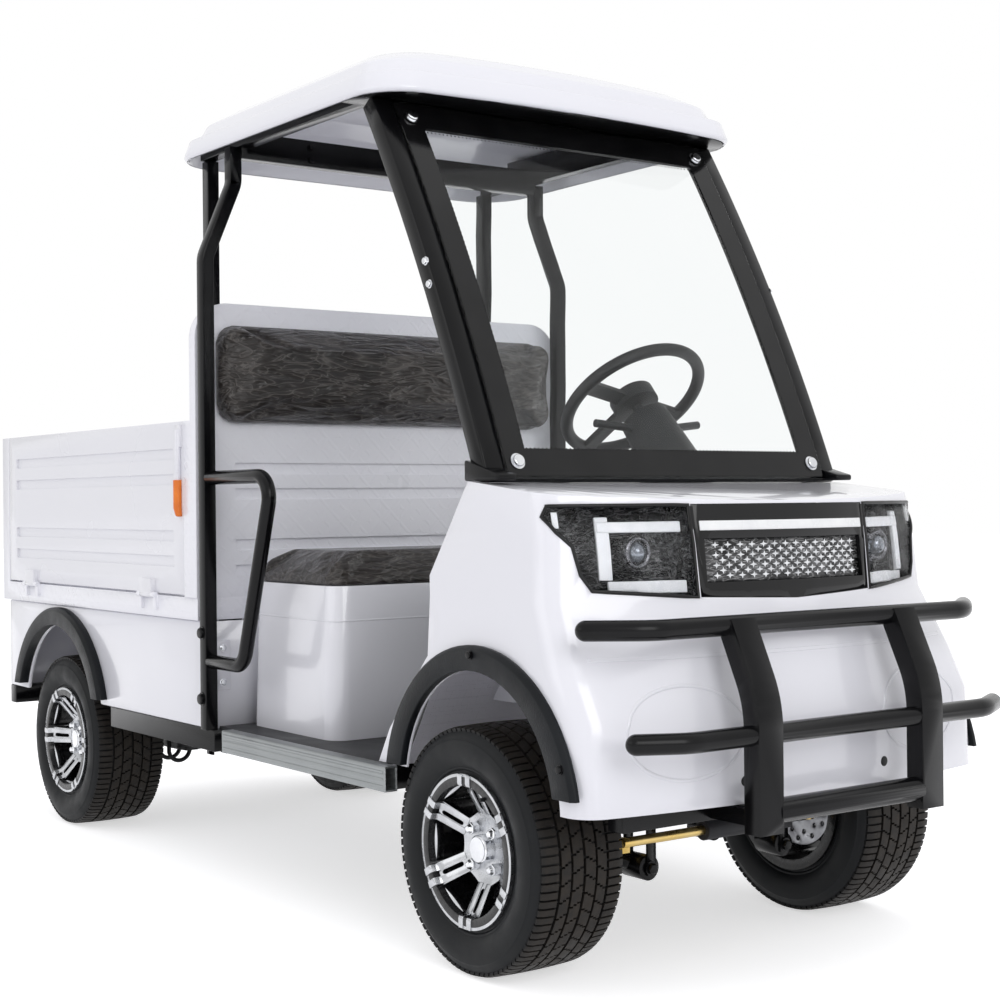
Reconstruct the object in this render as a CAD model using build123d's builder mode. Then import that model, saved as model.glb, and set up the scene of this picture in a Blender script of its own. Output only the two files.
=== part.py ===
from build123d import *
import math
import os

os.makedirs("parts", exist_ok=True)

# Two-seat electric utility vehicle with a drop-side bed.
# Millimetres, X forward, Y to the left, Z up, ground at Z = 0.

# Overall size and running gear
overall_length = 2810
front_overhang = 485
wheelbase = 1908
tyre_radius = 230
tyre_width = 205
tyre_tread_width = 160
wheel_centre_y = 413
rim_seat_radius = 127
rim_flange_radius = 142
rim_width = 194
rim_wall = 6
spoke_pairs = 6
hub_radius = 38
stub_radius = 15
shaft_clearance = 0.05
seat_gap = 0.3
front_axle_x = overall_length / 2 - front_overhang
rear_axle_x = front_axle_x - wheelbase
rear_end_x = -overall_length / 2
axle_z = tyre_radius

# Ladder frame
rail_inner_y = 165
rail_width = 40
rail_bottom_z = 300
rail_height = 50
rail_front_x = front_axle_x + 330
side_rail_width = 45
side_rail_y = 515
rail_outer_y = rail_inner_y + rail_width
rail_mid_y = rail_inner_y + rail_width / 2
rail_top_z = rail_bottom_z + rail_height

# Front arms, struts, knuckles and steering linkage
kingpin_y = 315
kingpin_radius = 9
boss_radius = 20
boss_height = 50
bush_reach = 100
bush_y = 178
bush_z = 178
bush_radius = 24
bush_half_length = 30
strut_y = 252
tower_top_z = 551
ear_thickness = 14
web_thickness = 14
arm_length = 100
arm_width = 26
tie_rod_radius = 9
tie_rod_z = 224
tie_rod_end_y = 278
brake_disc_radius = 95
brake_disc_thickness = 8

# Rear axle and its springs
axle_tube_radius = 25
leaf_width = 36
leaf_thickness = 8
spring_half_span = 270
spring_camber = 17

# Cab floor, seat and front wall
floor_thickness = 8
floor_half_width = 500
floor_front_x = front_axle_x - 290
sill_width = 30
sill_height = 50
sill_rear_x = front_axle_x - 930
sill_front_x = front_axle_x - 240
seat_front_x = front_axle_x - 600
seat_rear_x = front_axle_x - 985
seat_half_width = 430
seat_top_z = 690
seat_cushion_height = 68
dash_half_width = 450

# Front cowl
cowl_wall = 5
cowl_bottom_z = 335
cowl_half_width = 510
hood_rear_z = 908
hood_front_z = 866
hood_rear_x = front_axle_x - 23
hood_front_x = front_axle_x + 345
arch_front_x = front_axle_x + 45
arch_z = 325
arch_radius = 240
lamp_depth = 70
lamp_clearance = 0.6
grille_half_width = 222
grille_bottom_z = 697
lamp_top_z = 862

# Wheel flares
flare_radius = 299
flare_z = 312
flare_depth = 16
rear_arch_radius = 270
rear_arch_z = 275
rear_flare_band = 47
rear_flare_depth = 26

# Windscreen and pillars, side view points of the glass
glass_low_x = front_axle_x + 20
glass_low_z = 912
glass_high_x = front_axle_x - 373
glass_high_z = 1697
glass_bow = 20
glass_thickness = 5
glass_half_width = 420
pillar_depth = 40
pillar_width = 56
pillar_outer_y = 462

# Roof
roof_front_x = front_axle_x - 254
roof_rear_x = front_axle_x - 1250
roof_half_width = 497
roof_bottom_z = 1690
roof_shoulder_z = 1736
roof_rise = 96
roof_ledge = 24
roof_run = 276
roof_wall = 8
roof_corner_radius = 110
roof_top_z = roof_shoulder_z + roof_rise

# Rear posts and stays
post_size = 30
post_y = 518
post_top_y = 444
post_front_x = front_axle_x - 1000
post_foot_z = rail_top_z
post_bend_low_z = 1440
post_bend_high_z = 1615
stay_x = front_axle_x - 1195
stay_y = 412
handle_radius = 16
handle_high_z = 930
handle_low_z = 508
handle_front_x = front_axle_x - 700

# Bed
bed_front_x = front_axle_x - 1045
bed_half_width = 530
bed_bottom_z = 600
bed_floor_z = 652
bed_plate = 8
bed_mat = 3
bed_beam_width = 40
gate_top_z = 1065
gate_thickness = 25
gate_gap = 5
hinge_radius = 7
hinge_offset = 8
hinge_pin_radius = 3
hinge_barrel_length = 62
hinge_lug_length = 18
corner_post_size = 50
headboard_thickness = 30
headboard_half_width = 532
headboard_top_z = 1340
headboard_radius = 85
headboard_flange = 35
back_cushion_thickness = 80
lower_wall = 12
panel_seam = 3

# Bumper
bumper_upright_y = 180
bumper_upright_width = 57
bumper_upright_depth = 38
bumper_bottom_z = 297
bumper_top_z = 656
bumper_bar_radius = 18

# Steering wheel
steering_x = front_axle_x - 403
steering_y = 250
steering_z = 1098
steering_tilt = 49.6
steering_rim_radius = 163
steering_grip_radius = 14

rear_face_x = rear_end_x + hinge_offset + hinge_radius
sides = [("right", -1), ("left", 1)]


def block(x, y, z, mode=Mode.ADD):
    """Adds a box given by its lowest and highest value along each axis."""
    with Locations(((x[0] + x[1]) / 2, (y[0] + y[1]) / 2, (z[0] + z[1]) / 2)):
        Box(x[1] - x[0], y[1] - y[0], z[1] - z[0], mode=mode)


def rod(start, end, radius, mode=Mode.ADD):
    """Adds a round bar between two points."""
    axis = Vector(*end) - Vector(*start)
    with Locations(Plane(origin=start, z_dir=axis.normalized())):
        Cylinder(radius, axis.length, align=(Align.CENTER, Align.CENTER, Align.MIN), mode=mode)


def write(builder, node):
    """Labels a finished piece and writes it as one file."""
    builder.part.label = node
    export_step(builder.part, f"parts/{node}.step")


# Ladder frame: rails, cross tubes, side rails, bed risers, spring hangers, arm brackets and strut towers
front_tube_half_length = 410
cross_tubes = [  # centre X, half length along Y
    (rail_front_x - 20, front_tube_half_length),
    (front_axle_x - 320, floor_half_width),
    (front_axle_x - 660, rail_outer_y),
    (post_front_x - post_size / 2, side_rail_y),
    (rear_axle_x + 345, side_rail_y),
    (rear_end_x + 45, side_rail_y),
]
cross_tube_width = 40
hanger_plate = 5
hanger_reach = 108
hanger_half_length = 18
hanger_reach_y = leaf_width / 2 + seat_gap
riser_half_length = 20
side_rail_front_x = cross_tubes[3][0] + cross_tube_width / 2
side_rail_rear_x = cross_tubes[4][0] - cross_tube_width / 2
riser_xs = [front_axle_x - 1180, rear_axle_x + 345, rear_end_x + 65]
hanger_xs = (rear_axle_x - spring_half_span, rear_axle_x + spring_half_span)
eye_radius = 14
bracket_plate = 5
bracket_low_z = bush_z - 14
bracket_outer_y = bush_y + 8
bracket_near = bush_half_length + seat_gap
tower_half_length = 30
tower_plate = 8
tower_plate_half = 45
with BuildPart() as chassis_frame:
    for side in (-1, 1):
        inner, outer = sorted((side * rail_inner_y, side * rail_outer_y))
        block((rear_end_x + 25, rail_front_x), (inner, outer), (rail_bottom_z, rail_top_z))
        edge_in, edge_out = sorted((side * (side_rail_y - side_rail_width), side * side_rail_y))
        block((side_rail_rear_x, side_rail_front_x), (edge_in, edge_out), (rail_bottom_z, rail_top_z))
        for x in riser_xs:
            block(
                (x - riser_half_length, x + riser_half_length),
                (inner, outer),
                (rail_top_z - 1, bed_bottom_z),
            )
        for x in hanger_xs:
            for y in (rail_mid_y - hanger_reach_y - hanger_plate, rail_mid_y + hanger_reach_y):
                low, high = sorted((side * y, side * (y + hanger_plate)))
                block(
                    (x - hanger_half_length, x + hanger_half_length),
                    (low, high),
                    (rail_bottom_z - hanger_reach, rail_bottom_z + 1),
                )
        low, high = sorted((side * rail_inner_y, side * bracket_outer_y))
        for bush_x in (front_axle_x - bush_reach, front_axle_x + bush_reach):
            for end in (-1, 1):
                near = bush_x + end * bracket_near
                far = near + end * bracket_plate
                block(sorted((near, far)), (low, high), (bracket_low_z, rail_bottom_z + 1))
        low, high = sorted((side * (rail_inner_y + bracket_plate), side * rail_outer_y))
        block(
            (front_axle_x - tower_half_length, front_axle_x + tower_half_length),
            (low, high),
            (rail_top_z - 1, tower_top_z + 1),
        )
        low, high = sorted((side * (rail_inner_y + bracket_plate), side * (strut_y + tower_plate_half)))
        block(
            (front_axle_x - tower_plate_half, front_axle_x + tower_plate_half),
            (low, high),
            (tower_top_z, tower_top_z + tower_plate),
        )
    for x, half in cross_tubes:
        block(
            (x - cross_tube_width / 2, x + cross_tube_width / 2),
            (-half, half),
            (rail_bottom_z, rail_top_z),
        )
write(chassis_frame, "chassis_frame")

# Front arms: on each side two rods from the frame bushes to a bored kingpin boss, with a plate for the strut
arm_rod_radius = 13
strut_seat_z = 210
strut_seat_half_length = 46
strut_seat_half_width = 12
strut_seat_thickness = 12
boss_low_z = axle_z - boss_height / 2
with BuildPart() as front_arms:
    for side in (-1, 1):
        for end in (-1, 1):
            bush_x = front_axle_x + end * bush_reach
            rod(
                (bush_x - bush_half_length, side * bush_y, bush_z),
                (bush_x + bush_half_length, side * bush_y, bush_z),
                bush_radius,
            )
            rod((bush_x, side * bush_y, bush_z), (front_axle_x, side * kingpin_y, axle_z), arm_rod_radius)
        block(
            (front_axle_x - strut_seat_half_length, front_axle_x + strut_seat_half_length),
            sorted((side * (strut_y - strut_seat_half_width), side * (strut_y + strut_seat_half_width))),
            (strut_seat_z - strut_seat_thickness, strut_seat_z),
        )
        boss_foot = (front_axle_x, side * kingpin_y, boss_low_z)
        boss_head = (front_axle_x, side * kingpin_y, boss_low_z + boss_height)
        rod(boss_foot, boss_head, boss_radius)
        rod(boss_foot, boss_head, kingpin_radius + shaft_clearance, mode=Mode.SUBTRACT)
write(front_arms, "front_arms")

# Front struts: damper tube and rod between the arm and the tower, with a sleeved spring between two seats
damper_radius = 22
damper_rod_radius = 10
damper_top_z = 400
spring_seat_radius = 44
spring_seat_thickness = 6
spring_low_z = 336
spring_high_z = 540
sleeve_outer_radius = 38
sleeve_inner_radius = 30
with BuildPart() as front_struts:
    rod(
        (front_axle_x, strut_y, strut_seat_z + seat_gap),
        (front_axle_x, strut_y, damper_top_z),
        damper_radius,
    )
    rod(
        (front_axle_x, strut_y, damper_top_z - 1),
        (front_axle_x, strut_y, tower_top_z - seat_gap),
        damper_rod_radius,
    )
    for seat_z in (spring_low_z - spring_seat_thickness, spring_high_z):
        rod(
            (front_axle_x, strut_y, seat_z),
            (front_axle_x, strut_y, seat_z + spring_seat_thickness),
            spring_seat_radius,
        )
    with BuildSketch(Plane((front_axle_x, strut_y, spring_low_z - 1))):
        Circle(sleeve_outer_radius)
        Circle(sleeve_inner_radius, mode=Mode.SUBTRACT)
    extrude(amount=spring_high_z - spring_low_z + 2)
    mirror(about=Plane.XZ)
write(front_struts, "front_struts")

# Leaf springs: three stacked arcs under the rear axle, with an eye at both ends
axle_seat_z = axle_z - axle_tube_radius
leaf_lap = 0.2
leaves = [(0, 1.0), (1, 0.7), (2, 0.42)]  # place in the stack, share of the half span
with BuildPart() as leaf_springs:
    top_z = axle_seat_z - seat_gap - leaf_thickness / 2
    with BuildSketch(Plane.XZ.offset(-rail_mid_y - leaf_width / 2)):
        for place, share in leaves:
            low_z = top_z - place * (leaf_thickness - leaf_lap)
            end_x = spring_half_span * share
            end_z = low_z + spring_camber * share**2
            with BuildLine():
                ThreePointArc(
                    (rear_axle_x - end_x, end_z),
                    (rear_axle_x, low_z),
                    (rear_axle_x + end_x, end_z),
                )
            trace(line_width=leaf_thickness)
        with Locations(*[(x, top_z + spring_camber) for x in hanger_xs]):
            Circle(eye_radius)
    extrude(amount=leaf_width)
    mirror(about=Plane.XZ)
write(leaf_springs, "leaf_springs")

# Rear axle: tubes, gear case and stub ends in one housing
case_half_length = 70
case_half_width = 60
case_radius = 72
hub_inner_y = wheel_centre_y - 35
stub_end_y = wheel_centre_y + 25
tube_end_y = hub_inner_y - 6
case_front_x = rear_axle_x + case_half_length + 10
with BuildPart() as rear_axle:
    rod((rear_axle_x, -tube_end_y, axle_z), (rear_axle_x, tube_end_y, axle_z), axle_tube_radius)
    rod((rear_axle_x, -stub_end_y, axle_z), (rear_axle_x, stub_end_y, axle_z), stub_radius)
    rod((rear_axle_x, -case_half_width, axle_z), (rear_axle_x, case_half_width, axle_z), case_radius)
    rod((rear_axle_x, 0, axle_z), (case_front_x, 0, axle_z), case_half_width)
write(rear_axle, "rear_axle")

# Drive motor: one plain mass bolted to the front of the gear case
motor_radius = 75
motor_length = 220
with BuildPart() as drive_motor:
    rod((case_front_x, 0, axle_z), (case_front_x + motor_length, 0, axle_z), motor_radius)
write(drive_motor, "drive_motor")

# Steering knuckles: fork ears round the arm's boss, kingpin, stub axle, steering arm and brake caliper
ear_radius = 22
web_inner_y = ear_radius
web_half_width = 25
arm_tip_radius = 15
stud_radius = 7
stud_z = tie_rod_z + tie_rod_radius + 4
caliper_gap = 4
caliper_wall = 12
caliper_half = 34
caliper_bridge = 5
caliper_rear_x = front_axle_x - brake_disc_radius - caliper_gap - caliper_bridge
caliper_front_x = caliper_rear_x + 46
disc_outer_y = wheel_centre_y - 52
disc_inner_y = disc_outer_y - brake_disc_thickness
ear_top_z = axle_z + boss_height / 2 + seat_gap
ear_low_z = axle_z - boss_height / 2 - seat_gap
for name, side in sides:
    with BuildPart() as knuckle:
        for low_z in (ear_top_z, ear_low_z - ear_thickness):
            with BuildSketch(Plane((front_axle_x, side * kingpin_y, low_z))):
                Circle(ear_radius)
                with Locations((0, side * (web_inner_y + web_thickness) / 2)):
                    Rectangle(2 * ear_radius, web_inner_y + web_thickness)
            extrude(amount=ear_thickness)
        web = sorted((side * (kingpin_y + web_inner_y), side * (kingpin_y + web_inner_y + web_thickness)))
        block(
            (front_axle_x - web_half_width, front_axle_x + web_half_width),
            web,
            (ear_low_z - ear_thickness, ear_top_z + ear_thickness),
        )
        with BuildSketch(Plane((front_axle_x, side * kingpin_y, ear_low_z - ear_thickness))):
            Circle(kingpin_radius)
        extrude(amount=ear_top_z - ear_low_z + 2 * ear_thickness)
        rod(
            (front_axle_x, side * (kingpin_y + web_inner_y), axle_z),
            (front_axle_x, side * stub_end_y, axle_z),
            stub_radius,
        )
        with BuildSketch(Plane((front_axle_x, side * kingpin_y, ear_top_z))):
            with BuildLine():
                Line((0, 0), (arm_length, side * (tie_rod_end_y - kingpin_y)))
            trace(line_width=arm_width)
            with Locations((arm_length, side * (tie_rod_end_y - kingpin_y))):
                Circle(arm_tip_radius)
        extrude(amount=ear_thickness)
        rod(
            (front_axle_x + arm_length, side * tie_rod_end_y, stud_z),
            (front_axle_x + arm_length, side * tie_rod_end_y, ear_top_z + 1),
            stud_radius,
        )
        bracket = sorted((side * (kingpin_y + web_inner_y), side * (disc_inner_y - caliper_gap)))
        groove = sorted((side * (disc_inner_y - caliper_gap), side * (disc_outer_y + caliper_gap)))
        caliper = (groove[0] - caliper_wall, groove[1] + caliper_wall)
        block(
            (caliper_front_x - caliper_gap, front_axle_x),
            bracket,
            (axle_z - web_half_width, axle_z + web_half_width),
        )
        block((caliper_rear_x, caliper_front_x), caliper, (axle_z - caliper_half, axle_z + caliper_half))
        block(
            (caliper_rear_x + caliper_bridge, caliper_front_x + 1),
            groove,
            (axle_z - caliper_half - 1, axle_z + caliper_half + 1),
            mode=Mode.SUBTRACT,
        )
    write(knuckle, f"knuckle_{name}")

# Tie rod and drag link: two plated rods that slide sideways together
link_x = front_axle_x + arm_length
drag_x = link_x + 50
drag_z = tie_rod_z + 14
rod_end_radius = 14
rod_end_half = 10
drag_joint_y = 260
drag_joint_width = 18
drag_end_y = 20
with BuildPart() as tie_rod:
    rod((link_x, -tie_rod_end_y, tie_rod_z), (link_x, tie_rod_end_y, tie_rod_z), tie_rod_radius)
    for side in (-1, 1):
        rod(
            (link_x, side * tie_rod_end_y, tie_rod_z - rod_end_half),
            (link_x, side * tie_rod_end_y, stud_z - seat_gap),
            rod_end_radius,
        )
    block((link_x, drag_x), (-drag_joint_y, drag_joint_width - drag_joint_y), (tie_rod_z - 6, drag_z + 6))
    rod((drag_x, -drag_joint_y, drag_z), (drag_x, drag_end_y, drag_z), tie_rod_radius)
write(tie_rod, "tie_rod")

# Wheels: pressed rim with twin spokes, tyre, and a drilled brake disc at the front
bead_gap = 0.3
flange_width = 8.7
flange_inner = rim_width / 2 - flange_width
tyre_bead_half = flange_inner - bead_gap
dish_outer = 84
dish_inner = 46
dish_thickness = 16
hub_flange_radius = 62
hub_inner_a = hub_inner_y - wheel_centre_y
stub_end_a = stub_end_y - wheel_centre_y
window_inner_radius = 66
window_outer_radius = 116
window_inner_half = 16
window_outer_half = 42
slot_width = 9
slot_radius = (window_inner_radius + window_outer_radius) / 2 + 3
slot_length = window_outer_radius - window_inner_radius - 8
bead_edge_radius = rim_flange_radius + 5
shoulder_half = tyre_tread_width / 2 + 9
crown_half = tyre_tread_width / 2 - 4
disc_hole_radius = 5
cap_radius = 24
cap_height = 12
wheel_table = [  # place, side, axle X, turn of the first spoke pair, has a brake disc
    ("front_right", -1, front_axle_x, 90, True),
    ("front_left", 1, front_axle_x, 90, True),
    ("rear_right", -1, rear_axle_x, 0, False),
    ("rear_left", 1, rear_axle_x, 0, False),
]
for place, side, axle_x, turn, has_disc in wheel_table:
    centre = (axle_x, side * wheel_centre_y, axle_z)
    section = Plane(origin=centre, x_dir=(1, 0, 0), z_dir=(0, 0, side))
    face = Plane(origin=centre, x_dir=(1, 0, 0), z_dir=(0, side, 0))
    spin = Axis(centre, (0, side, 0))
    with BuildPart() as rim:
        with BuildSketch(section):
            with BuildLine():
                Polyline(
                    (rim_seat_radius - rim_wall, -rim_width / 2),
                    (rim_flange_radius, -rim_width / 2),
                    (rim_flange_radius, -flange_inner),
                    (rim_seat_radius, -flange_inner),
                    (rim_seat_radius, flange_inner),
                    (rim_flange_radius, flange_inner),
                    (rim_flange_radius, rim_width / 2),
                    (rim_seat_radius - rim_wall, rim_width / 2),
                    close=True,
                )
            make_face()
            with BuildLine():
                Polyline(
                    (rim_seat_radius - 1, dish_outer),
                    (rim_seat_radius - 1, dish_outer - dish_thickness),
                    (hub_flange_radius - 6, dish_inner - dish_thickness),
                    (hub_flange_radius - 6, dish_inner),
                    close=True,
                )
            make_face()
            with BuildLine():
                Polyline(
                    (stub_radius + shaft_clearance, hub_inner_a),
                    (hub_radius, hub_inner_a),
                    (hub_radius, dish_inner - dish_thickness),
                    (hub_flange_radius, dish_inner - dish_thickness),
                    (hub_flange_radius, dish_inner),
                    (cap_radius, dish_inner),
                    (cap_radius - 5, dish_inner + cap_height),
                    (0, dish_inner + cap_height),
                    (0, stub_end_a + seat_gap),
                    (stub_radius + shaft_clearance, stub_end_a + seat_gap),
                    close=True,
                )
            make_face()
        revolve(axis=spin)
        with BuildSketch(face):
            with PolarLocations(0, spoke_pairs, start_angle=turn + 180 / spoke_pairs):
                Polygon(
                    (window_inner_radius, -window_inner_half),
                    (window_outer_radius, -window_outer_half),
                    (window_outer_radius, window_outer_half),
                    (window_inner_radius, window_inner_half),
                    align=None,
                )
            with PolarLocations(slot_radius, spoke_pairs, start_angle=turn):
                SlotOverall(slot_length, slot_width)
        extrude(amount=rim_width / 2, mode=Mode.SUBTRACT)
    write(rim, f"rim_{place}")

    shoulder_radius = tyre_radius - 8
    bulge_radius = (tyre_radius + rim_flange_radius) / 2
    with BuildPart() as tyre:
        with BuildSketch(section):
            with BuildLine():
                Polyline(
                    (bead_edge_radius, -tyre_bead_half),
                    (rim_seat_radius + bead_gap, -tyre_bead_half),
                    (rim_seat_radius + bead_gap, tyre_bead_half),
                    (bead_edge_radius, tyre_bead_half),
                )
                ThreePointArc(
                    (bead_edge_radius, tyre_bead_half),
                    (bulge_radius, tyre_width / 2),
                    (shoulder_radius, shoulder_half),
                )
                Polyline(
                    (shoulder_radius, shoulder_half),
                    (tyre_radius, crown_half),
                    (tyre_radius, -crown_half),
                    (shoulder_radius, -shoulder_half),
                )
                ThreePointArc(
                    (shoulder_radius, -shoulder_half),
                    (bulge_radius, -tyre_width / 2),
                    (bead_edge_radius, -tyre_bead_half),
                )
            make_face()
        revolve(axis=spin)
    write(tyre, f"tyre_{place}")

    if has_disc:
        disc_outer_a = disc_outer_y - wheel_centre_y
        disc_inner_a = disc_inner_y - wheel_centre_y
        hat_inner_radius = hub_radius - 8
        hat_outer_radius = hub_radius + 12
        with BuildPart() as brake_disc:
            with BuildSketch(section):
                with BuildLine():
                    Polyline(
                        (hat_inner_radius, hub_inner_a),
                        (hat_outer_radius, hub_inner_a),
                        (hat_outer_radius, disc_outer_a),
                        (brake_disc_radius, disc_outer_a),
                        (brake_disc_radius, disc_inner_a),
                        (hat_inner_radius, disc_inner_a),
                        close=True,
                    )
                make_face()
            revolve(axis=spin)
            with BuildSketch(face.offset(disc_inner_a)):
                with PolarLocations(brake_disc_radius - 14, 12):
                    Circle(disc_hole_radius)
                with PolarLocations(brake_disc_radius - 28, 12, start_angle=15):
                    Circle(disc_hole_radius)
            extrude(amount=brake_disc_thickness, mode=Mode.SUBTRACT)
        write(brake_disc, f"brake_disc_{place}")

# Cab floor: ribbed tread plate turned up into the toe board
toe_knee_z = 505
toe_knee_x = front_axle_x - 195
toe_top_x = front_axle_x - 95
dash_bottom_z = 640
floor_mid_z = rail_top_z + floor_thickness / 2
floor_rear_x = post_front_x
with BuildPart() as floor_pan:
    with BuildSketch(Plane.XZ.offset(-dash_half_width)):
        with BuildLine():
            Polyline(
                (floor_rear_x, floor_mid_z),
                (floor_front_x, floor_mid_z),
                (toe_knee_x, toe_knee_z),
                (toe_top_x, dash_bottom_z + floor_thickness),
            )
        trace(line_width=floor_thickness)
    extrude(amount=2 * dash_half_width)
    block(
        (floor_rear_x, floor_front_x),
        (-floor_half_width, floor_half_width),
        (rail_top_z, rail_top_z + floor_thickness),
    )
write(floor_pan, "floor_pan")

# Running-board sills: hollow aluminium sections along both floor edges
sill_wall = 4
sill_top_z = rail_top_z + floor_thickness
with BuildPart() as sills:
    with BuildSketch(Plane.YZ.offset(sill_rear_x)):
        for side in (-1, 1):
            with Locations((side * (floor_half_width + sill_width / 2), sill_top_z - sill_height / 2)):
                Rectangle(sill_width, sill_height)
                Rectangle(sill_width - 2 * sill_wall, sill_height - 2 * sill_wall, mode=Mode.SUBTRACT)
    extrude(amount=sill_front_x - sill_rear_x)
write(sills, "sills")

# Seat box: tapered moulding with rounded corners, open below, over the battery pack
seat_wall = 6
seat_taper = 8
seat_radius = 45
seat_mid_x = (seat_front_x + seat_rear_x) / 2
seat_length = seat_front_x - seat_rear_x
with BuildPart() as seat_box:
    for inset, low_z, high_z, mode in (
        (0, sill_top_z, seat_top_z, Mode.ADD),
        (seat_wall, sill_top_z, seat_top_z - seat_wall, Mode.SUBTRACT),
    ):
        with BuildSketch(Plane((seat_mid_x, 0, low_z))):
            RectangleRounded(seat_length - 2 * inset, 2 * (seat_half_width - inset), seat_radius - inset)
        with BuildSketch(Plane((seat_mid_x, 0, high_z))):
            RectangleRounded(
                seat_length - 2 * inset - 2 * seat_taper,
                2 * (seat_half_width - inset - seat_taper),
                seat_radius - inset,
            )
        loft(ruled=True, mode=mode)
write(seat_box, "seat_box")

# Battery pack: one plain mass on the floor inside the seat box
battery_length = 300
battery_width = 560
battery_height = 240
with BuildPart() as battery_pack:
    block(
        (seat_mid_x - battery_length / 2, seat_mid_x + battery_length / 2),
        (-battery_width / 2, battery_width / 2),
        (sill_top_z, sill_top_z + battery_height),
    )
write(battery_pack, "battery_pack")

# Seat cushion
with BuildPart() as seat_cushion:
    with BuildSketch(Plane((seat_mid_x, 0, seat_top_z + seat_gap))):
        RectangleRounded(seat_length - seat_taper, 2 * seat_half_width - seat_taper, seat_radius)
    extrude(amount=seat_cushion_height)
    fillet(seat_cushion.edges().group_by(Axis.Z)[-1], 25)
write(seat_cushion, "seat_cushion")

# Front cowl: a moulded shell lofted from level sections, cut to its side view, with arches and lamp openings
cowl_back_x = front_axle_x - 330
nose_sections = [  # Z, nose X, corner X, half width, corner radius
    (cowl_bottom_z, front_axle_x + 398, front_axle_x + 345, cowl_half_width, 55),
    (490, front_axle_x + 402, front_axle_x + 335, cowl_half_width, 60),
    (570, front_axle_x + 378, front_axle_x + 290, cowl_half_width, 60),
    (690, front_axle_x + 347, front_axle_x + 222, 494, 60),
    (790, front_axle_x + 337, front_axle_x + 214, 487, 60),
    (hood_rear_z + 10, front_axle_x + 318, front_axle_x + 192, 479, 60),
]
hood_slope = (hood_front_z - hood_rear_z) / (hood_front_x - hood_rear_x)
nose_tip_x = front_axle_x + 430
nose_tip_z = hood_rear_z + hood_slope * (nose_tip_x - hood_rear_x)
side_reach = 600


def nose_solid(inset, drop=0):
    """Returns the solid inside the nose skin, set in by a wall and let down below its lowest section."""
    with BuildPart() as skin:
        for row, (z, nose_x, corner_x, half, radius) in enumerate(nose_sections):
            with BuildSketch(Plane.XY.offset(z - (drop if row == 0 else 0))) as outline:
                with BuildLine():
                    ThreePointArc(
                        (corner_x - inset, inset - half),
                        (nose_x - inset, 0),
                        (corner_x - inset, half - inset),
                    )
                    Polyline(
                        (corner_x - inset, half - inset),
                        (cowl_back_x, half - inset),
                        (cowl_back_x, inset - half),
                        (corner_x - inset, inset - half),
                    )
                make_face()
                fillet(outline.vertices().sort_by(Axis.X)[-2:], radius - inset / 2)
        loft(ruled=True)
    return skin.part


nose_outer = nose_solid(0)
lamp_outline = [  # distance from the middle, Z
    (grille_half_width + 5, lamp_top_z - 1),
    (470, lamp_top_z - 1),
    (477, 842),
    (463, 815),
    (441, 790),
    (431, 740),
    (414, 712),
    (grille_half_width + 1, grille_bottom_z),
]
grille_outline = [
    (-grille_half_width, lamp_top_z),
    (grille_half_width, lamp_top_z),
    (grille_half_width - 5, grille_bottom_z),
    (0, grille_bottom_z - 8),
    (5 - grille_half_width, grille_bottom_z),
]
lamp_back_x = front_axle_x + 150
with BuildPart() as cowl_space:
    add(nose_solid(cowl_wall, drop=20))
    with BuildSketch(Plane.XZ.offset(-side_reach)):
        Polygon(
            (cowl_back_x, cowl_bottom_z - 30),
            (nose_tip_x, cowl_bottom_z - 30),
            (nose_tip_x, nose_tip_z - cowl_wall),
            (hood_rear_x, hood_rear_z - cowl_wall),
            (cowl_back_x, hood_rear_z - cowl_wall),
            align=None,
        )
    extrude(amount=2 * side_reach, mode=Mode.INTERSECT)
with BuildPart() as front_cowl:
    add(nose_outer)
    with BuildSketch(Plane.XZ.offset(-side_reach)):
        Polygon(
            (front_axle_x - 292, sill_top_z + 4),
            (front_axle_x - 100, sill_top_z + 4),
            (front_axle_x - 100, cowl_bottom_z),
            (nose_tip_x, cowl_bottom_z),
            (nose_tip_x, nose_tip_z),
            (hood_rear_x, hood_rear_z),
            (front_axle_x - 135, 731),
            (front_axle_x - 118, 580),
            (front_axle_x - 252, 430),
            align=None,
        )
    extrude(amount=2 * side_reach, mode=Mode.INTERSECT)
    add(cowl_space.part, mode=Mode.SUBTRACT)
    with BuildSketch(Plane.XZ.offset(-side_reach)):
        with Locations((arch_front_x, arch_z)):
            Circle(arch_radius)
    extrude(amount=2 * side_reach, mode=Mode.SUBTRACT)
    with BuildSketch(Plane.YZ.offset(lamp_back_x)):
        Polygon(*lamp_outline, align=None)
        Polygon(*[(-y, z) for y, z in lamp_outline], align=None)
        Polygon(*grille_outline, align=None)
        offset(amount=lamp_clearance)
    extrude(amount=side_reach, mode=Mode.SUBTRACT)
write(front_cowl, "front_cowl")

# Headlamps: clear-fronted pods that follow the nose skin
lamp_core = nose_solid(lamp_depth)
with BuildPart() as headlamps:
    add(nose_outer)
    with BuildSketch(Plane.YZ.offset(lamp_back_x)):
        Polygon(*lamp_outline, align=None)
        Polygon(*[(-y, z) for y, z in lamp_outline], align=None)
    extrude(amount=side_reach, mode=Mode.INTERSECT)
    add(lamp_core, mode=Mode.SUBTRACT)
write(headlamps, "headlamps")

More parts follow.
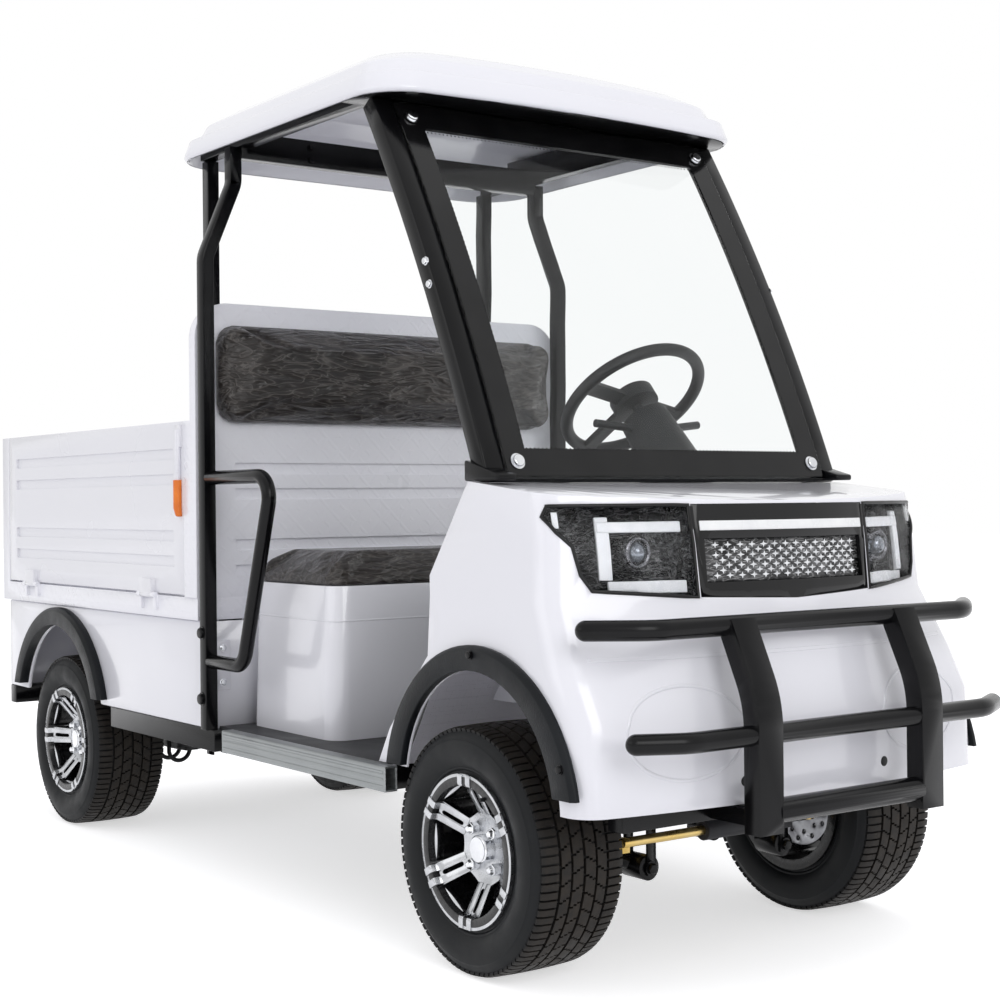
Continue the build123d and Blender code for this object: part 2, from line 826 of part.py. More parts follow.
# Grille panel: gloss panel between the lamps with a pocket for the mesh insert
grille_depth = 40
pocket_depth = 16
mesh_half_width = 202
mesh_low_z = 722
mesh_high_z = 800
pocket_floor = nose_solid(pocket_depth)
with BuildPart() as mesh_pocket:
    add(nose_solid(-10))
    with BuildSketch(Plane.YZ.offset(lamp_back_x)):
        with Locations((0, (mesh_low_z + mesh_high_z) / 2)):
            Rectangle(2 * mesh_half_width, mesh_high_z - mesh_low_z)
    extrude(amount=side_reach, mode=Mode.INTERSECT)
    add(pocket_floor, mode=Mode.SUBTRACT)
with BuildPart() as grille_panel:
    add(nose_outer)
    with BuildSketch(Plane.YZ.offset(lamp_back_x)):
        Polygon(*grille_outline, align=None)
    extrude(amount=side_reach, mode=Mode.INTERSECT)
    add(nose_solid(grille_depth), mode=Mode.SUBTRACT)
    add(mesh_pocket.part, mode=Mode.SUBTRACT)
write(grille_panel, "grille_panel")

# Grille insert: curved strip seated in the pocket
insert_gap = 0.4
insert_front = 9
with BuildPart() as grille_insert:
    add(nose_solid(insert_front))
    with BuildSketch(Plane.YZ.offset(lamp_back_x)):
        with Locations((0, (mesh_low_z + mesh_high_z) / 2)):
            Rectangle(2 * (mesh_half_width - insert_gap), mesh_high_z - mesh_low_z - 2 * insert_gap)
    extrude(amount=side_reach, mode=Mode.INTERSECT)
    add(nose_solid(pocket_depth - insert_gap), mode=Mode.SUBTRACT)
write(grille_insert, "grille_insert")

# Dashboard: moulded block behind the cowl, above the toe board
dash_top_z = hood_rear_z - 14
with BuildPart() as dashboard:
    with BuildSketch(Plane.XZ.offset(-dash_half_width)) as dash_side:
        Polygon(
            (front_axle_x - 30, dash_top_z),
            (front_axle_x - 75, dash_top_z),
            (front_axle_x - 120, dash_top_z - 75),
            (front_axle_x - 125, dash_bottom_z),
            (front_axle_x - 60, dash_bottom_z),
            (front_axle_x - 30, dash_bottom_z + 60),
            align=None,
        )
        fillet(dash_side.vertices(), 14)
    extrude(amount=2 * dash_half_width)
    add(floor_pan.part, mode=Mode.SUBTRACT)
write(dashboard, "dashboard")

# Bumper: two curved uprights, two bent round bars, a lower tube and the brackets to the frame rails
upright_x = front_axle_x + front_overhang - bumper_upright_depth / 2
bar_end_radius = 90
bumper_bars = [  # Z, middle X, tip X, tip Y, Y where the bend starts
    (bumper_top_z - 5, front_axle_x + 402, front_axle_x + 331, 507 - bumper_bar_radius, 400),
    (467, upright_x, front_axle_x + 424, 477 - bumper_bar_radius, 380),
]
lower_tube_radius = 22
with BuildPart() as bumper:
    with BuildSketch(Plane.XZ.offset(-bumper_upright_y - bumper_upright_width)):
        with BuildLine():
            FilletPolyline(
                (upright_x, bumper_bottom_z),
                (upright_x, 520),
                (bumper_bars[0][1], bumper_top_z),
                radius=200,
            )
        trace(line_width=bumper_upright_depth)
    extrude(amount=bumper_upright_width)
    block(
        (rail_front_x + seat_gap, upright_x),
        (bumper_upright_y, rail_outer_y),
        (rail_bottom_z + 3, cowl_bottom_z - 4),
    )
    mirror(about=Plane.XZ)
    rod(
        (upright_x, -bumper_upright_y - 5, bumper_bottom_z + 36),
        (upright_x, bumper_upright_y + 5, bumper_bottom_z + 36),
        lower_tube_radius,
    )
    for z, mid_x, tip_x, tip_y, bend_y in bumper_bars:
        with BuildLine(Plane.XY.offset(z)) as bar_path:
            FilletPolyline(
                (tip_x, -tip_y),
                (mid_x, -bend_y),
                (mid_x, bend_y),
                (tip_x, tip_y),
                radius=bar_end_radius,
            )
        with BuildSketch(Plane(origin=bar_path.line @ 0, z_dir=bar_path.line % 0)):
            Circle(bumper_bar_radius)
        sweep(path=bar_path.line)
        with Locations((tip_x, -tip_y, z), (tip_x, tip_y, z)):
            Sphere(bumper_bar_radius)
write(bumper, "bumper")

# Windscreen and its frame: a bowed sheet bolted to the front of two pillars joined by cross bars
chord_x = glass_high_x - glass_low_x
chord_z = glass_high_z - glass_low_z
chord = math.hypot(chord_x, chord_z)
glass_radius = chord**2 / (8 * glass_bow) + glass_bow / 2
normal_x = chord_z / chord
normal_z = -chord_x / chord
arc_centre_x = (glass_low_x + glass_high_x) / 2 - normal_x * (glass_radius - glass_bow)
arc_centre_z = (glass_low_z + glass_high_z) / 2 - normal_z * (glass_radius - glass_bow)
screen_bar_height = 38


def screen_arc_points(depth):
    """Returns the ends and the middle of the windscreen curve, set back by a depth."""
    scale = (glass_radius - depth) / glass_radius
    middle_x = arc_centre_x + normal_x * glass_radius
    middle_z = arc_centre_z + normal_z * glass_radius
    points = [(glass_low_x, glass_low_z), (middle_x, middle_z), (glass_high_x, glass_high_z)]
    centre = Vector(arc_centre_x, arc_centre_z)
    moved = [centre + (Vector(x, z) - centre) * scale for x, z in points]
    return [(point.X, point.Y) for point in moved]


with BuildPart() as windscreen:
    with BuildSketch(Plane.XZ.offset(-glass_half_width)):
        with BuildLine():
            ThreePointArc(*screen_arc_points(0))
        trace(line_width=glass_thickness)
    extrude(amount=2 * glass_half_width)
    block(
        (glass_high_x - 100, glass_low_x),
        (-side_reach, side_reach),
        (roof_bottom_z - 2, roof_top_z),
        mode=Mode.SUBTRACT,
    )
write(windscreen, "windscreen")

pillar_set_back = glass_thickness / 2 + seat_gap + pillar_depth / 2
with BuildPart() as front_pillars:
    with BuildSketch(Plane.XZ.offset(-pillar_outer_y)):
        with BuildLine():
            ThreePointArc(*screen_arc_points(pillar_set_back))
        trace(line_width=pillar_depth)
    extrude(amount=2 * pillar_outer_y)
    block(
        (glass_high_x - 200, glass_low_x + 100),
        (pillar_width - pillar_outer_y, pillar_outer_y - pillar_width),
        (glass_low_z + screen_bar_height, roof_bottom_z - 45),
        mode=Mode.SUBTRACT,
    )
    block(
        (glass_high_x - 200, glass_low_x),
        (-side_reach, side_reach),
        (roof_bottom_z, roof_top_z),
        mode=Mode.SUBTRACT,
    )
    with BuildSketch(Plane.XZ.offset(-side_reach)):
        Polygon(
            (hood_rear_x - 60, hood_rear_z - hood_slope * 60 + seat_gap),
            (hood_front_x, hood_front_z + seat_gap),
            (hood_front_x, dash_bottom_z),
            (hood_rear_x - 60, dash_bottom_z),
            align=None,
        )
    extrude(amount=2 * side_reach, mode=Mode.SUBTRACT)
write(front_pillars, "front_pillars")

# Roof: two-level moulded shell, open below
roof_nose = 38
crown_angles = (0, 20, 40, 60, 90)
# Each row: Z, side inset, end inset
roof_rim = [(roof_bottom_z, 5, 5), (roof_bottom_z + 8, 0, 0), (roof_shoulder_z, 10, 10)]
roof_crown = []
for angle in crown_angles:
    crown_inset = roof_ledge + roof_run * (1 - math.cos(math.radians(angle)))
    crown_z = roof_shoulder_z + roof_rise * math.sin(math.radians(angle))
    roof_crown.append((crown_z, crown_inset, crown_inset))


def roof_outline_solid(rows, inset, drop, lower_first):
    """Returns the solid under a stack of roof outlines, set in by a wall and let down by a drop."""
    with BuildPart() as stack:
        for row, (z, side_inset, end_inset) in enumerate(rows):
            half = roof_half_width - side_inset - inset
            front = roof_front_x - end_inset - inset
            rear = roof_rear_x + end_inset + inset
            level = z - (lower_first if row == 0 else drop)
            with BuildSketch(Plane.XY.offset(level)) as outline:
                with BuildLine():
                    ThreePointArc((front - roof_nose, -half), (front, 0), (front - roof_nose, half))
                    Polyline(
                        (front - roof_nose, half),
                        (rear, half),
                        (rear, -half),
                        (front - roof_nose, -half),
                    )
                make_face()
                fillet(outline.vertices(), roof_corner_radius)
        loft(ruled=True)
    return stack.part


with BuildPart() as roof_shell:
    add(roof_outline_solid(roof_rim, 0, 0, 0))
    add(roof_outline_solid(roof_crown, 0, 0, roof_wall / 2))
    add(roof_outline_solid(roof_rim, roof_wall, roof_wall, 10), mode=Mode.SUBTRACT)
    add(roof_outline_solid(roof_crown, roof_wall, roof_wall, roof_wall + 10), mode=Mode.SUBTRACT)
write(roof_shell, "roof_shell")

# Roof frame: front visor, side rails and the rear cross beam
roof_rail_high_z = 1768
roof_rail_low_z = 1700
roof_rail_end_z = 1728
roof_rail_inner_y = 404
roof_rail_outer_y = 436
visor_rows = [(roof_bottom_z, 8.4, 8.4), (roof_bottom_z + 10, 11, 11)]
visor_rear_x = glass_high_x - 75
post_rear_x = post_front_x - post_size
beam_low_z = 1675
beam_high_z = 1737
with BuildPart() as visor_plate:
    add(roof_outline_solid(visor_rows, 0, 0, 0))
    block(
        (visor_rear_x, roof_front_x),
        (-side_reach, side_reach),
        (roof_bottom_z, roof_rail_low_z),
        mode=Mode.INTERSECT,
    )
with BuildPart() as roof_frame:
    add(visor_plate.part)
    for side in (-1, 1):
        low, high = sorted((side * roof_rail_inner_y, side * roof_rail_outer_y))
        block((stay_x - 5, visor_rear_x + 60), (low, high), (roof_rail_low_z, roof_rail_end_z))
        block((stay_x + 115, visor_rear_x), (low, high), (roof_rail_low_z, roof_rail_high_z))
    beam_half = post_top_y - post_size / 2
    block((post_rear_x, post_front_x), (-beam_half, beam_half), (beam_low_z, beam_high_z))
write(roof_frame, "roof_frame")

# Rear posts, joggled inwards under the roof, and straight stays behind the headboard
with BuildPart() as rear_posts:
    with BuildSketch(Plane.YZ.offset(post_rear_x)):
        with BuildLine():
            FilletPolyline(
                (post_y, post_foot_z),
                (post_y, post_bend_low_z),
                (post_top_y, post_bend_high_z),
                (post_top_y, roof_rail_low_z),
                radius=60,
            )
        trace(line_width=post_size)
    extrude(amount=post_size)
    block(
        (stay_x - post_size / 2, stay_x + post_size / 2),
        (stay_y - post_size / 2, stay_y + post_size / 2),
        (bed_floor_z, roof_rail_low_z),
    )
    mirror(about=Plane.XZ)
write(rear_posts, "rear_posts")

# Grab handles: bent round tubes on the front of the posts
with BuildPart() as grab_handles:
    with BuildLine(Plane.XZ.offset(-post_y)) as handle_path:
        FilletPolyline(
            (post_front_x + seat_gap, handle_high_z),
            (handle_front_x, handle_high_z),
            (handle_front_x - 142, handle_low_z),
            (post_front_x + seat_gap, handle_low_z),
            radius=48,
        )
    with BuildSketch(Plane(origin=handle_path.line @ 0, z_dir=handle_path.line % 0)):
        Circle(handle_radius)
    sweep(path=handle_path.line)
    mirror(about=Plane.XZ)
write(grab_handles, "grab_handles")

# Wheel flares: black bands round the four arches
flare_round = 8
rear_panel_y = side_rail_y
flare_low_z = 366
flare_table = [  # arch X, arch Z, arch radius, outer Z, outer radius, seat Y, depth
    (arch_front_x, arch_z, arch_radius, flare_z, flare_radius, cowl_half_width, flare_depth),
    (
        rear_axle_x,
        rear_arch_z,
        rear_arch_radius,
        rear_arch_z,
        rear_arch_radius + rear_flare_band,
        rear_panel_y,
        rear_flare_depth,
    ),
]
with BuildPart() as wheel_flares:
    for arch_x, inner_z, inner_radius, outer_z, outer_radius, seat_y, depth in flare_table:
        with BuildPart() as flare:
            with BuildSketch(Plane.XZ.offset(-seat_y - depth)):
                with Locations((arch_x, outer_z)):
                    Circle(outer_radius)
            extrude(amount=depth)
            chamfer(flare.edges().group_by(Axis.Y)[-1], flare_round)
            with BuildSketch(Plane.XZ.offset(-seat_y - depth)):
                with Locations((arch_x, inner_z)):
                    Circle(inner_radius)
                with Locations((arch_x, flare_low_z)):
                    Rectangle(4 * inner_radius, 4 * inner_radius, align=(Align.CENTER, Align.MAX))
            extrude(amount=depth, mode=Mode.SUBTRACT)
        add(flare.part)
    mirror(about=Plane.XZ)
write(wheel_flares, "wheel_flares")

# Lower rear body: side panels with arches, the wall behind the seat and the rear wall with lamp pockets
lower_top_z = bed_bottom_z - panel_seam
lower_front_x = post_rear_x
lower_rear_x = rear_face_x + 6
tail_lamp_y = 395
tail_lamp_z = 480
tail_lamp_width = 120
tail_lamp_height = 62
tail_lamp_depth = 8
with BuildPart() as rear_side_panels:
    with BuildSketch(Plane.XZ.offset(-rear_panel_y)):
        with BuildLine():
            Polyline(
                (lower_rear_x, rail_top_z),
                (lower_front_x, rail_top_z),
                (lower_front_x, lower_top_z),
                (lower_rear_x, lower_top_z),
                close=True,
            )
        make_face()
        with Locations((rear_axle_x, rear_arch_z)):
            Circle(rear_arch_radius, mode=Mode.SUBTRACT)
    extrude(amount=lower_wall)
    mirror(about=Plane.XZ)
write(rear_side_panels, "rear_side_panels")

with BuildPart() as rear_walls:
    inner_y = rear_panel_y - lower_wall
    block((lower_front_x - lower_wall, lower_front_x), (-inner_y, inner_y), (rail_top_z, lower_top_z))
    block((lower_rear_x, lower_rear_x + lower_wall), (-inner_y, inner_y), (rail_top_z, lower_top_z))
    with BuildSketch(Plane.YZ.offset(lower_rear_x)):
        with Locations((-tail_lamp_y, tail_lamp_z), (tail_lamp_y, tail_lamp_z)):
            RectangleRounded(tail_lamp_width + 2 * seat_gap, tail_lamp_height + 2 * seat_gap, 12)
    extrude(amount=tail_lamp_depth, mode=Mode.SUBTRACT)
write(rear_walls, "rear_walls")

tail_lamp_proud = 5
with BuildPart() as tail_lamps:
    with BuildSketch(Plane.YZ.offset(lower_rear_x - tail_lamp_proud)):
        with Locations((-tail_lamp_y, tail_lamp_z), (tail_lamp_y, tail_lamp_z)):
            RectangleRounded(tail_lamp_width, tail_lamp_height, 12)
    extrude(amount=tail_lamp_depth - seat_gap + tail_lamp_proud)
write(tail_lamps, "tail_lamps")

# Bed floor: plate on a tube frame with a cargo mat, rear corner posts and the fixed lugs and pins of hinges
gate_low_z = bed_floor_z + gate_gap
gate_front_x = bed_front_x - headboard_thickness - headboard_flange - 4
gate_rear_x = rear_face_x + corner_post_size + 4
tail_half_width = bed_half_width - corner_post_size - 4
hinge_axis_y = bed_half_width + hinge_offset
hinge_axis_x = rear_face_x - hinge_offset
side_hinge_xs = [front_axle_x - 1306, front_axle_x - 2075]
tail_hinge_ys = [-300, 300]
bed_beams_x = [bed_front_x - bed_beam_width / 2, riser_xs[0], riser_xs[1], rear_axle_x - 60, rear_end_x + 45]
lug_reach = hinge_barrel_length / 2 + 0.5
lug_end = lug_reach + hinge_lug_length
leaf_plate = 5
leaf_height = 34
mat_front_x = stay_x - post_size / 2 - 10
mat_rear_x = rear_face_x + corner_post_size + 5
mat_half_width = bed_half_width - gate_thickness - 10
with BuildPart() as bed_floor:
    block(
        (rear_face_x, bed_front_x),
        (-bed_half_width, bed_half_width),
        (bed_floor_z - bed_plate, bed_floor_z),
    )
    block(
        (mat_rear_x, mat_front_x),
        (-mat_half_width, mat_half_width),
        (bed_floor_z - 1, bed_floor_z + bed_mat),
    )
    for side in (-1, 1):
        low, high = sorted((side * (bed_half_width - bed_beam_width), side * bed_half_width))
        block((rear_face_x, bed_front_x), (low, high), (bed_bottom_z, bed_floor_z))
        low, high = sorted((side * (bed_half_width - corner_post_size), side * bed_half_width))
        block((rear_face_x, rear_face_x + corner_post_size), (low, high), (bed_floor_z - 1, gate_top_z))
        low, high = sorted((side * rail_inner_y, side * rail_outer_y))
        block((rear_face_x, bed_front_x), (low, high), (bed_bottom_z, bed_floor_z))
    for x in bed_beams_x:
        block(
            (x - bed_beam_width / 2, x + bed_beam_width / 2),
            (-bed_half_width, bed_half_width),
            (bed_bottom_z, bed_floor_z),
        )
    for side in (-1, 1):
        for x in side_hinge_xs:
            axis_y = side * hinge_axis_y
            rod((x - lug_end, axis_y, bed_floor_z), (x + lug_end, axis_y, bed_floor_z), hinge_pin_radius)
            for end in (-1, 1):
                near, far = sorted((x + end * lug_reach, x + end * lug_end))
                rod((near, axis_y, bed_floor_z), (far, axis_y, bed_floor_z), hinge_radius)
                low, high = sorted((side * (bed_half_width - 1), side * hinge_axis_y))
                block((near, far), (low, high), (bed_floor_z - leaf_height, bed_floor_z))
    for y in tail_hinge_ys:
        rod(
            (hinge_axis_x, y - lug_end, bed_floor_z),
            (hinge_axis_x, y + lug_end, bed_floor_z),
            hinge_pin_radius,
        )
        for end in (-1, 1):
            near, far = sorted((y + end * lug_reach, y + end * lug_end))
            rod((hinge_axis_x, near, bed_floor_z), (hinge_axis_x, far, bed_floor_z), hinge_radius)
            block((hinge_axis_x, rear_face_x + 1), (near, far), (bed_floor_z - leaf_height, bed_floor_z))
write(bed_floor, "bed_floor")

# Headboard: tall front wall of the bed with rounded shoulders, pressed ribs and side flanges
rib_height = 26
rib_depth = 6
headboard_ribs_z = [700, 760, 880, 940]
with BuildPart() as headboard:
    with BuildSketch(Plane.YZ.offset(bed_front_x - headboard_thickness)) as board:
        with Locations((0, (bed_floor_z + headboard_top_z) / 2)):
            Rectangle(2 * headboard_half_width, headboard_top_z - bed_floor_z)
        fillet(board.vertices().group_by(Axis.Y)[-1], headboard_radius)
    extrude(amount=headboard_thickness)
    for side in (-1, 1):
        low, high = sorted((side * (headboard_half_width - headboard_flange), side * headboard_half_width))
        block(
            (bed_front_x - headboard_thickness - headboard_flange, bed_front_x - headboard_thickness + 1),
            (low, high),
            (bed_floor_z, gate_top_z),
        )
    for z in headboard_ribs_z:
        block((bed_front_x - rib_depth, bed_front_x), (-430, 430), (z, z + rib_height), mode=Mode.SUBTRACT)
write(headboard, "headboard")

# Back cushion
cushion_half_width = 488
cushion_low_z = 1058
cushion_high_z = 1290
with BuildPart() as back_cushion:
    with BuildSketch(Plane.YZ.offset(bed_front_x + seat_gap)):
        with Locations((0, (cushion_low_z + cushion_high_z) / 2)):
            RectangleRounded(2 * cushion_half_width, cushion_high_z - cushion_low_z, 45)
    extrude(amount=back_cushion_thickness)
    fillet(back_cushion.edges().group_by(Axis.X)[-1], 25)
write(back_cushion, "back_cushion")

# Drop sides and tailgate: ribbed panels with hinge barrels, leaves and an over-centre latch lever
gate_ribs_z = [722, 782, 916, 976]
gate_rib_margin = 55
latch_plate = 6
latch_width = 26
latch_height = 52
latch_drop = 8
latch_low_z = 845
latch_x = gate_front_x - 6 - latch_width / 2
lever_radius = 8
for name, side in sides:
    with BuildPart() as gate:
        inner, outer = sorted((side * (bed_half_width - gate_thickness), side * bed_half_width))
        block((gate_rear_x, gate_front_x), (inner, outer), (gate_low_z, gate_top_z))
        low, high = sorted((side * (bed_half_width - rib_depth), side * bed_half_width))
        for z in gate_ribs_z:
            block(
                (gate_rear_x + gate_rib_margin, gate_front_x - gate_rib_margin),
                (low, high),
                (z, z + rib_height),
                mode=Mode.SUBTRACT,
            )
        for x in side_hinge_xs:
            start = (x - hinge_barrel_length / 2, side * hinge_axis_y, bed_floor_z)
            end = (x + hinge_barrel_length / 2, side * hinge_axis_y, bed_floor_z)
            low, high = sorted((side * (bed_half_width - 1), side * hinge_axis_y))
            rod(start, end, hinge_radius)
            block((start[0], end[0]), (low, high), (gate_low_z, gate_low_z + leaf_height))
            low, high = sorted((side * (hinge_axis_y - leaf_plate), side * (hinge_axis_y + leaf_plate)))
            block((start[0], end[0]), (low, high), (bed_floor_z + 2, gate_low_z + leaf_height))
            rod(start, end, hinge_pin_radius + shaft_clearance, mode=Mode.SUBTRACT)
        low, high = sorted((side * (bed_half_width - 1), side * (bed_half_width + latch_plate)))
        block(
            (latch_x - latch_width / 2, latch_x + latch_width / 2),
            (low, high),
            (gate_top_z - latch_height - latch_drop, gate_top_z - latch_drop),
        )
        rod(
            (latch_x, side * (bed_half_width + latch_plate), latch_low_z),
            (latch_x, side * (bed_half_width + latch_plate), gate_top_z - 20),
            lever_radius,
        )
    write(gate, f"side_gate_{name}")

with BuildPart() as tailgate:
    block(
        (rear_face_x, rear_face_x + gate_thickness),
        (-tail_half_width, tail_half_width),
        (gate_low_z, gate_top_z),
    )
    for z in gate_ribs_z:
        block(
            (rear_face_x, rear_face_x + rib_depth),
            (gate_rib_margin - tail_half_width, tail_half_width - gate_rib_margin),
            (z, z + rib_height),
            mode=Mode.SUBTRACT,
        )
    for y in tail_hinge_ys:
        start = (hinge_axis_x, y - hinge_barrel_length / 2, bed_floor_z)
        end = (hinge_axis_x, y + hinge_barrel_length / 2, bed_floor_z)
        rod(start, end, hinge_radius)
        block(
            (hinge_axis_x - leaf_plate, rear_face_x + 1),
            (start[1], end[1]),
            (bed_floor_z + 2, bed_floor_z + gate_gap + leaf_height),
        )
        rod(start, end, hinge_pin_radius + shaft_clearance, mode=Mode.SUBTRACT)
write(tailgate, "tailgate")

# Steering column: shroud and stalks fixed to the dash, and the wheel that turns on it
tilt = math.radians(steering_tilt)
column_axis = Vector(-math.cos(tilt), 0, math.sin(tilt))
wheel_hub = Vector(steering_x, steering_y, steering_z)
shroud_top = wheel_hub - column_axis * 62
shroud_low = wheel_hub - column_axis * 470
shroud_top_radius = 55
shroud_low_radius = 80
stalk_length = 150
stalk_radius = 9
column_shaft_radius = 12
shaft_reach = 148
with BuildPart() as steering_column:
    with BuildSketch(Plane(origin=shroud_low, z_dir=column_axis)):
        Circle(shroud_low_radius)
    with BuildSketch(Plane(origin=shroud_top, z_dir=column_axis)):
        Circle(shroud_top_radius)
    loft(ruled=True)
    stalk_root = wheel_hub - column_axis * 95
    for side in (-1, 1):
        tip = stalk_root + Vector(0, side * stalk_length, 0) + column_axis * 20
        rod(stalk_root, tip, stalk_radius)
    add(dashboard.part, mode=Mode.SUBTRACT)
    rod(
        wheel_hub - column_axis * (shaft_reach + 2),
        shroud_top,
        column_shaft_radius + shaft_clearance,
        mode=Mode.SUBTRACT,
    )
write(steering_column, "steering_column")

rim_plane = Plane(origin=wheel_hub, x_dir=(0, 1, 0), z_dir=column_axis)
spoke_width = 34
spoke_thickness = 12
spoke_angles = (15, 105, 195)
hub_pad_radius = 52
hub_pad_height = 34
hub_pad_top = 12
with BuildPart() as steering_wheel:
    with Locations(rim_plane):
        Torus(steering_rim_radius, steering_grip_radius)
    with BuildSketch(rim_plane.offset(hub_pad_top - hub_pad_height)):
        Circle(hub_pad_radius)
    extrude(amount=hub_pad_height)
    with BuildSketch(rim_plane.offset(-spoke_thickness)):
        for angle in spoke_angles:
            with Locations(Rotation(0, 0, angle)):
                Rectangle(steering_rim_radius, spoke_width, align=(Align.MIN, Align.CENTER))
    extrude(amount=spoke_thickness)
    rod(wheel_hub - column_axis * shaft_reach, wheel_hub - column_axis * 20, column_shaft_radius)
write(steering_wheel, "steering_wheel")

# Steering gear: rack housing that guides the drag link, bolted to the left rail
gear_radius = 20
gear_open_y = -60
gear_end_y = 130
gear_bracket_half = 18
with BuildPart() as steering_gear:
    rod((drag_x, gear_open_y, drag_z), (drag_x, gear_end_y, drag_z), gear_radius)
    block(
        (drag_x - gear_bracket_half, drag_x + gear_bracket_half),
        (gear_end_y - 30, rail_inner_y),
        (drag_z - gear_bracket_half, rail_top_z - 10),
    )
    rod(
        (drag_x, gear_open_y, drag_z),
        (drag_x, gear_end_y - 20, drag_z),
        tie_rod_radius + shaft_clearance,
        mode=Mode.SUBTRACT,
    )
write(steering_gear, "steering_gear")

# Pedals: two pads on arms hung from the toe board
pedal_ys = (180, 310)
pedal_x = toe_knee_x - 60
pedal_root_x = toe_knee_x + 6
pedal_low_z = 425
pedal_high_z = 500
pedal_half_width = 32
pedal_thickness = 10
pedal_arm_radius = 7
with BuildPart() as pedals:
    for y in pedal_ys:
        rod((pedal_x, y, pedal_high_z - 30), (pedal_root_x, y, toe_knee_z + 20), pedal_arm_radius)
        block(
            (pedal_x - pedal_thickness, pedal_x + 2),
            (y - pedal_half_width, y + pedal_half_width),
            (pedal_low_z, pedal_high_z),
        )
    add(floor_pan.part, mode=Mode.SUBTRACT)
write(pedals, "pedals")
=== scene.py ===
import math
from contextlib import contextmanager

import bpy
from mathutils import Matrix, Vector
from mathutils.bvhtree import BVHTree


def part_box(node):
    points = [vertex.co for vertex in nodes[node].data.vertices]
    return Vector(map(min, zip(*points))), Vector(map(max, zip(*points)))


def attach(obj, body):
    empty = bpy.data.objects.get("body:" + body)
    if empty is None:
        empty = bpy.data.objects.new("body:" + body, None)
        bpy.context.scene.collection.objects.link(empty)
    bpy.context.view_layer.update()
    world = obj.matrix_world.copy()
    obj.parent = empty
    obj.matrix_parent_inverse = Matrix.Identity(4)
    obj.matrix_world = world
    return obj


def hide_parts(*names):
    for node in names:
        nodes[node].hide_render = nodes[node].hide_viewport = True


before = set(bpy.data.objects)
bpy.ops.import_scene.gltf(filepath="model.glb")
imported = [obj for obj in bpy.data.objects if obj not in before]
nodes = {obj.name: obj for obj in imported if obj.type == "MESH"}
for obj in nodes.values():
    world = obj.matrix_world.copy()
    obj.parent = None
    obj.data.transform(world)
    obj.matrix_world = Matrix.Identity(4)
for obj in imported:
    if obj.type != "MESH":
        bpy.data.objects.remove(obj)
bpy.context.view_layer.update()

scene = bpy.context.scene

# Studio
# A pale floor under soft overhead light, with the camera where the photograph was taken from.
# The camera's place comes from the tyre circles, the pillars and the matching left and right edges.
camera_place = Vector((3.486, -2.293, 0.871))
camera_yaw = math.radians(143.91)
camera_pitch = math.radians(0.03)
camera_roll = math.radians(-0.53)
camera_lens = 61.5
sensor_width = 36.0
view_end = 200
floor_size = 60.0
floor_colour = (0.80, 0.80, 0.82)
floor_lift = 0.58
world_light = 0.88
pure_white = (1, 1, 1)

camera_data = bpy.data.cameras.new("photo_camera")
camera_data.sensor_width = sensor_width
camera_data.sensor_fit = "HORIZONTAL"
camera_data.lens = camera_lens
camera_data.clip_end = view_end
camera = bpy.data.objects.new("photo_camera", camera_data)
camera.matrix_world = (
    Matrix.Translation(camera_place)
    @ Matrix.Rotation(camera_yaw - math.pi / 2, 4, "Z")
    @ Matrix.Rotation(math.pi / 2 + camera_pitch, 4, "X")
    @ Matrix.Rotation(camera_roll, 4, "Z")
)
scene.collection.objects.link(camera)
scene.camera = camera
scene.view_settings.view_transform = "Standard"


def plug(tree, value, socket):
    """Feeds a socket with a number, a colour or another node's output."""
    if isinstance(value, bpy.types.NodeSocket):
        tree.links.new(value, socket)
    else:
        socket.default_value = (*value, 1) if socket.type == "RGBA" else value


def feed(tree, node, **values):
    """Feeds a node's inputs by name; an underscore stands for a space."""
    for key, value in values.items():
        plug(tree, value, node.inputs[key.replace("_", " ")])


def add_node(tree, kind, **values):
    """Adds a shader node and feeds its inputs."""
    made = tree.nodes.new("ShaderNode" + kind)
    feed(tree, made, **values)
    return made


def measure(tree, operation, *values):
    """Adds a math node; each value is a socket or a number."""
    made = tree.nodes.new("ShaderNodeMath")
    made.operation = operation
    for socket, value in zip(made.inputs, values):
        plug(tree, value, socket)
    return made.outputs[0]


def seen_directly(tree):
    """Returns a mask that is 1 for what the camera sees, also in metal and through glass."""
    path = tree.nodes.new("ShaderNodeLightPath").outputs
    in_metal = measure(tree, "MAXIMUM", path["Is Camera Ray"], path["Is Glossy Ray"])
    return measure(tree, "MAXIMUM", in_metal, path["Is Transmission Ray"])


def begin(primitive, location=(0, 0, 0), **values):
    """Adds a mesh primitive with nothing else selected and returns it."""
    bpy.ops.object.select_all(action="DESELECT")
    primitive(location=location, **values)
    return bpy.context.object


floor = begin(bpy.ops.mesh.primitive_plane_add, size=floor_size)
floor.name = "studio_floor"
floor_finish = bpy.data.materials.new("studio_floor")
floor_finish.use_nodes = True
tree = floor_finish.node_tree
tree.nodes.clear()
floor_seen = measure(tree, "MULTIPLY", seen_directly(tree), floor_lift)
floor_diffuse = add_node(tree, "BsdfDiffuse", Color=floor_colour)
floor_glow = add_node(tree, "Emission", Color=pure_white, Strength=floor_seen)
floor_sum = tree.nodes.new("ShaderNodeAddShader")
tree.links.new(floor_diffuse.outputs[0], floor_sum.inputs[0])
tree.links.new(floor_glow.outputs[0], floor_sum.inputs[1])
add_node(tree, "OutputMaterial", Surface=floor_sum.outputs[0])
floor.data.materials.append(floor_finish)

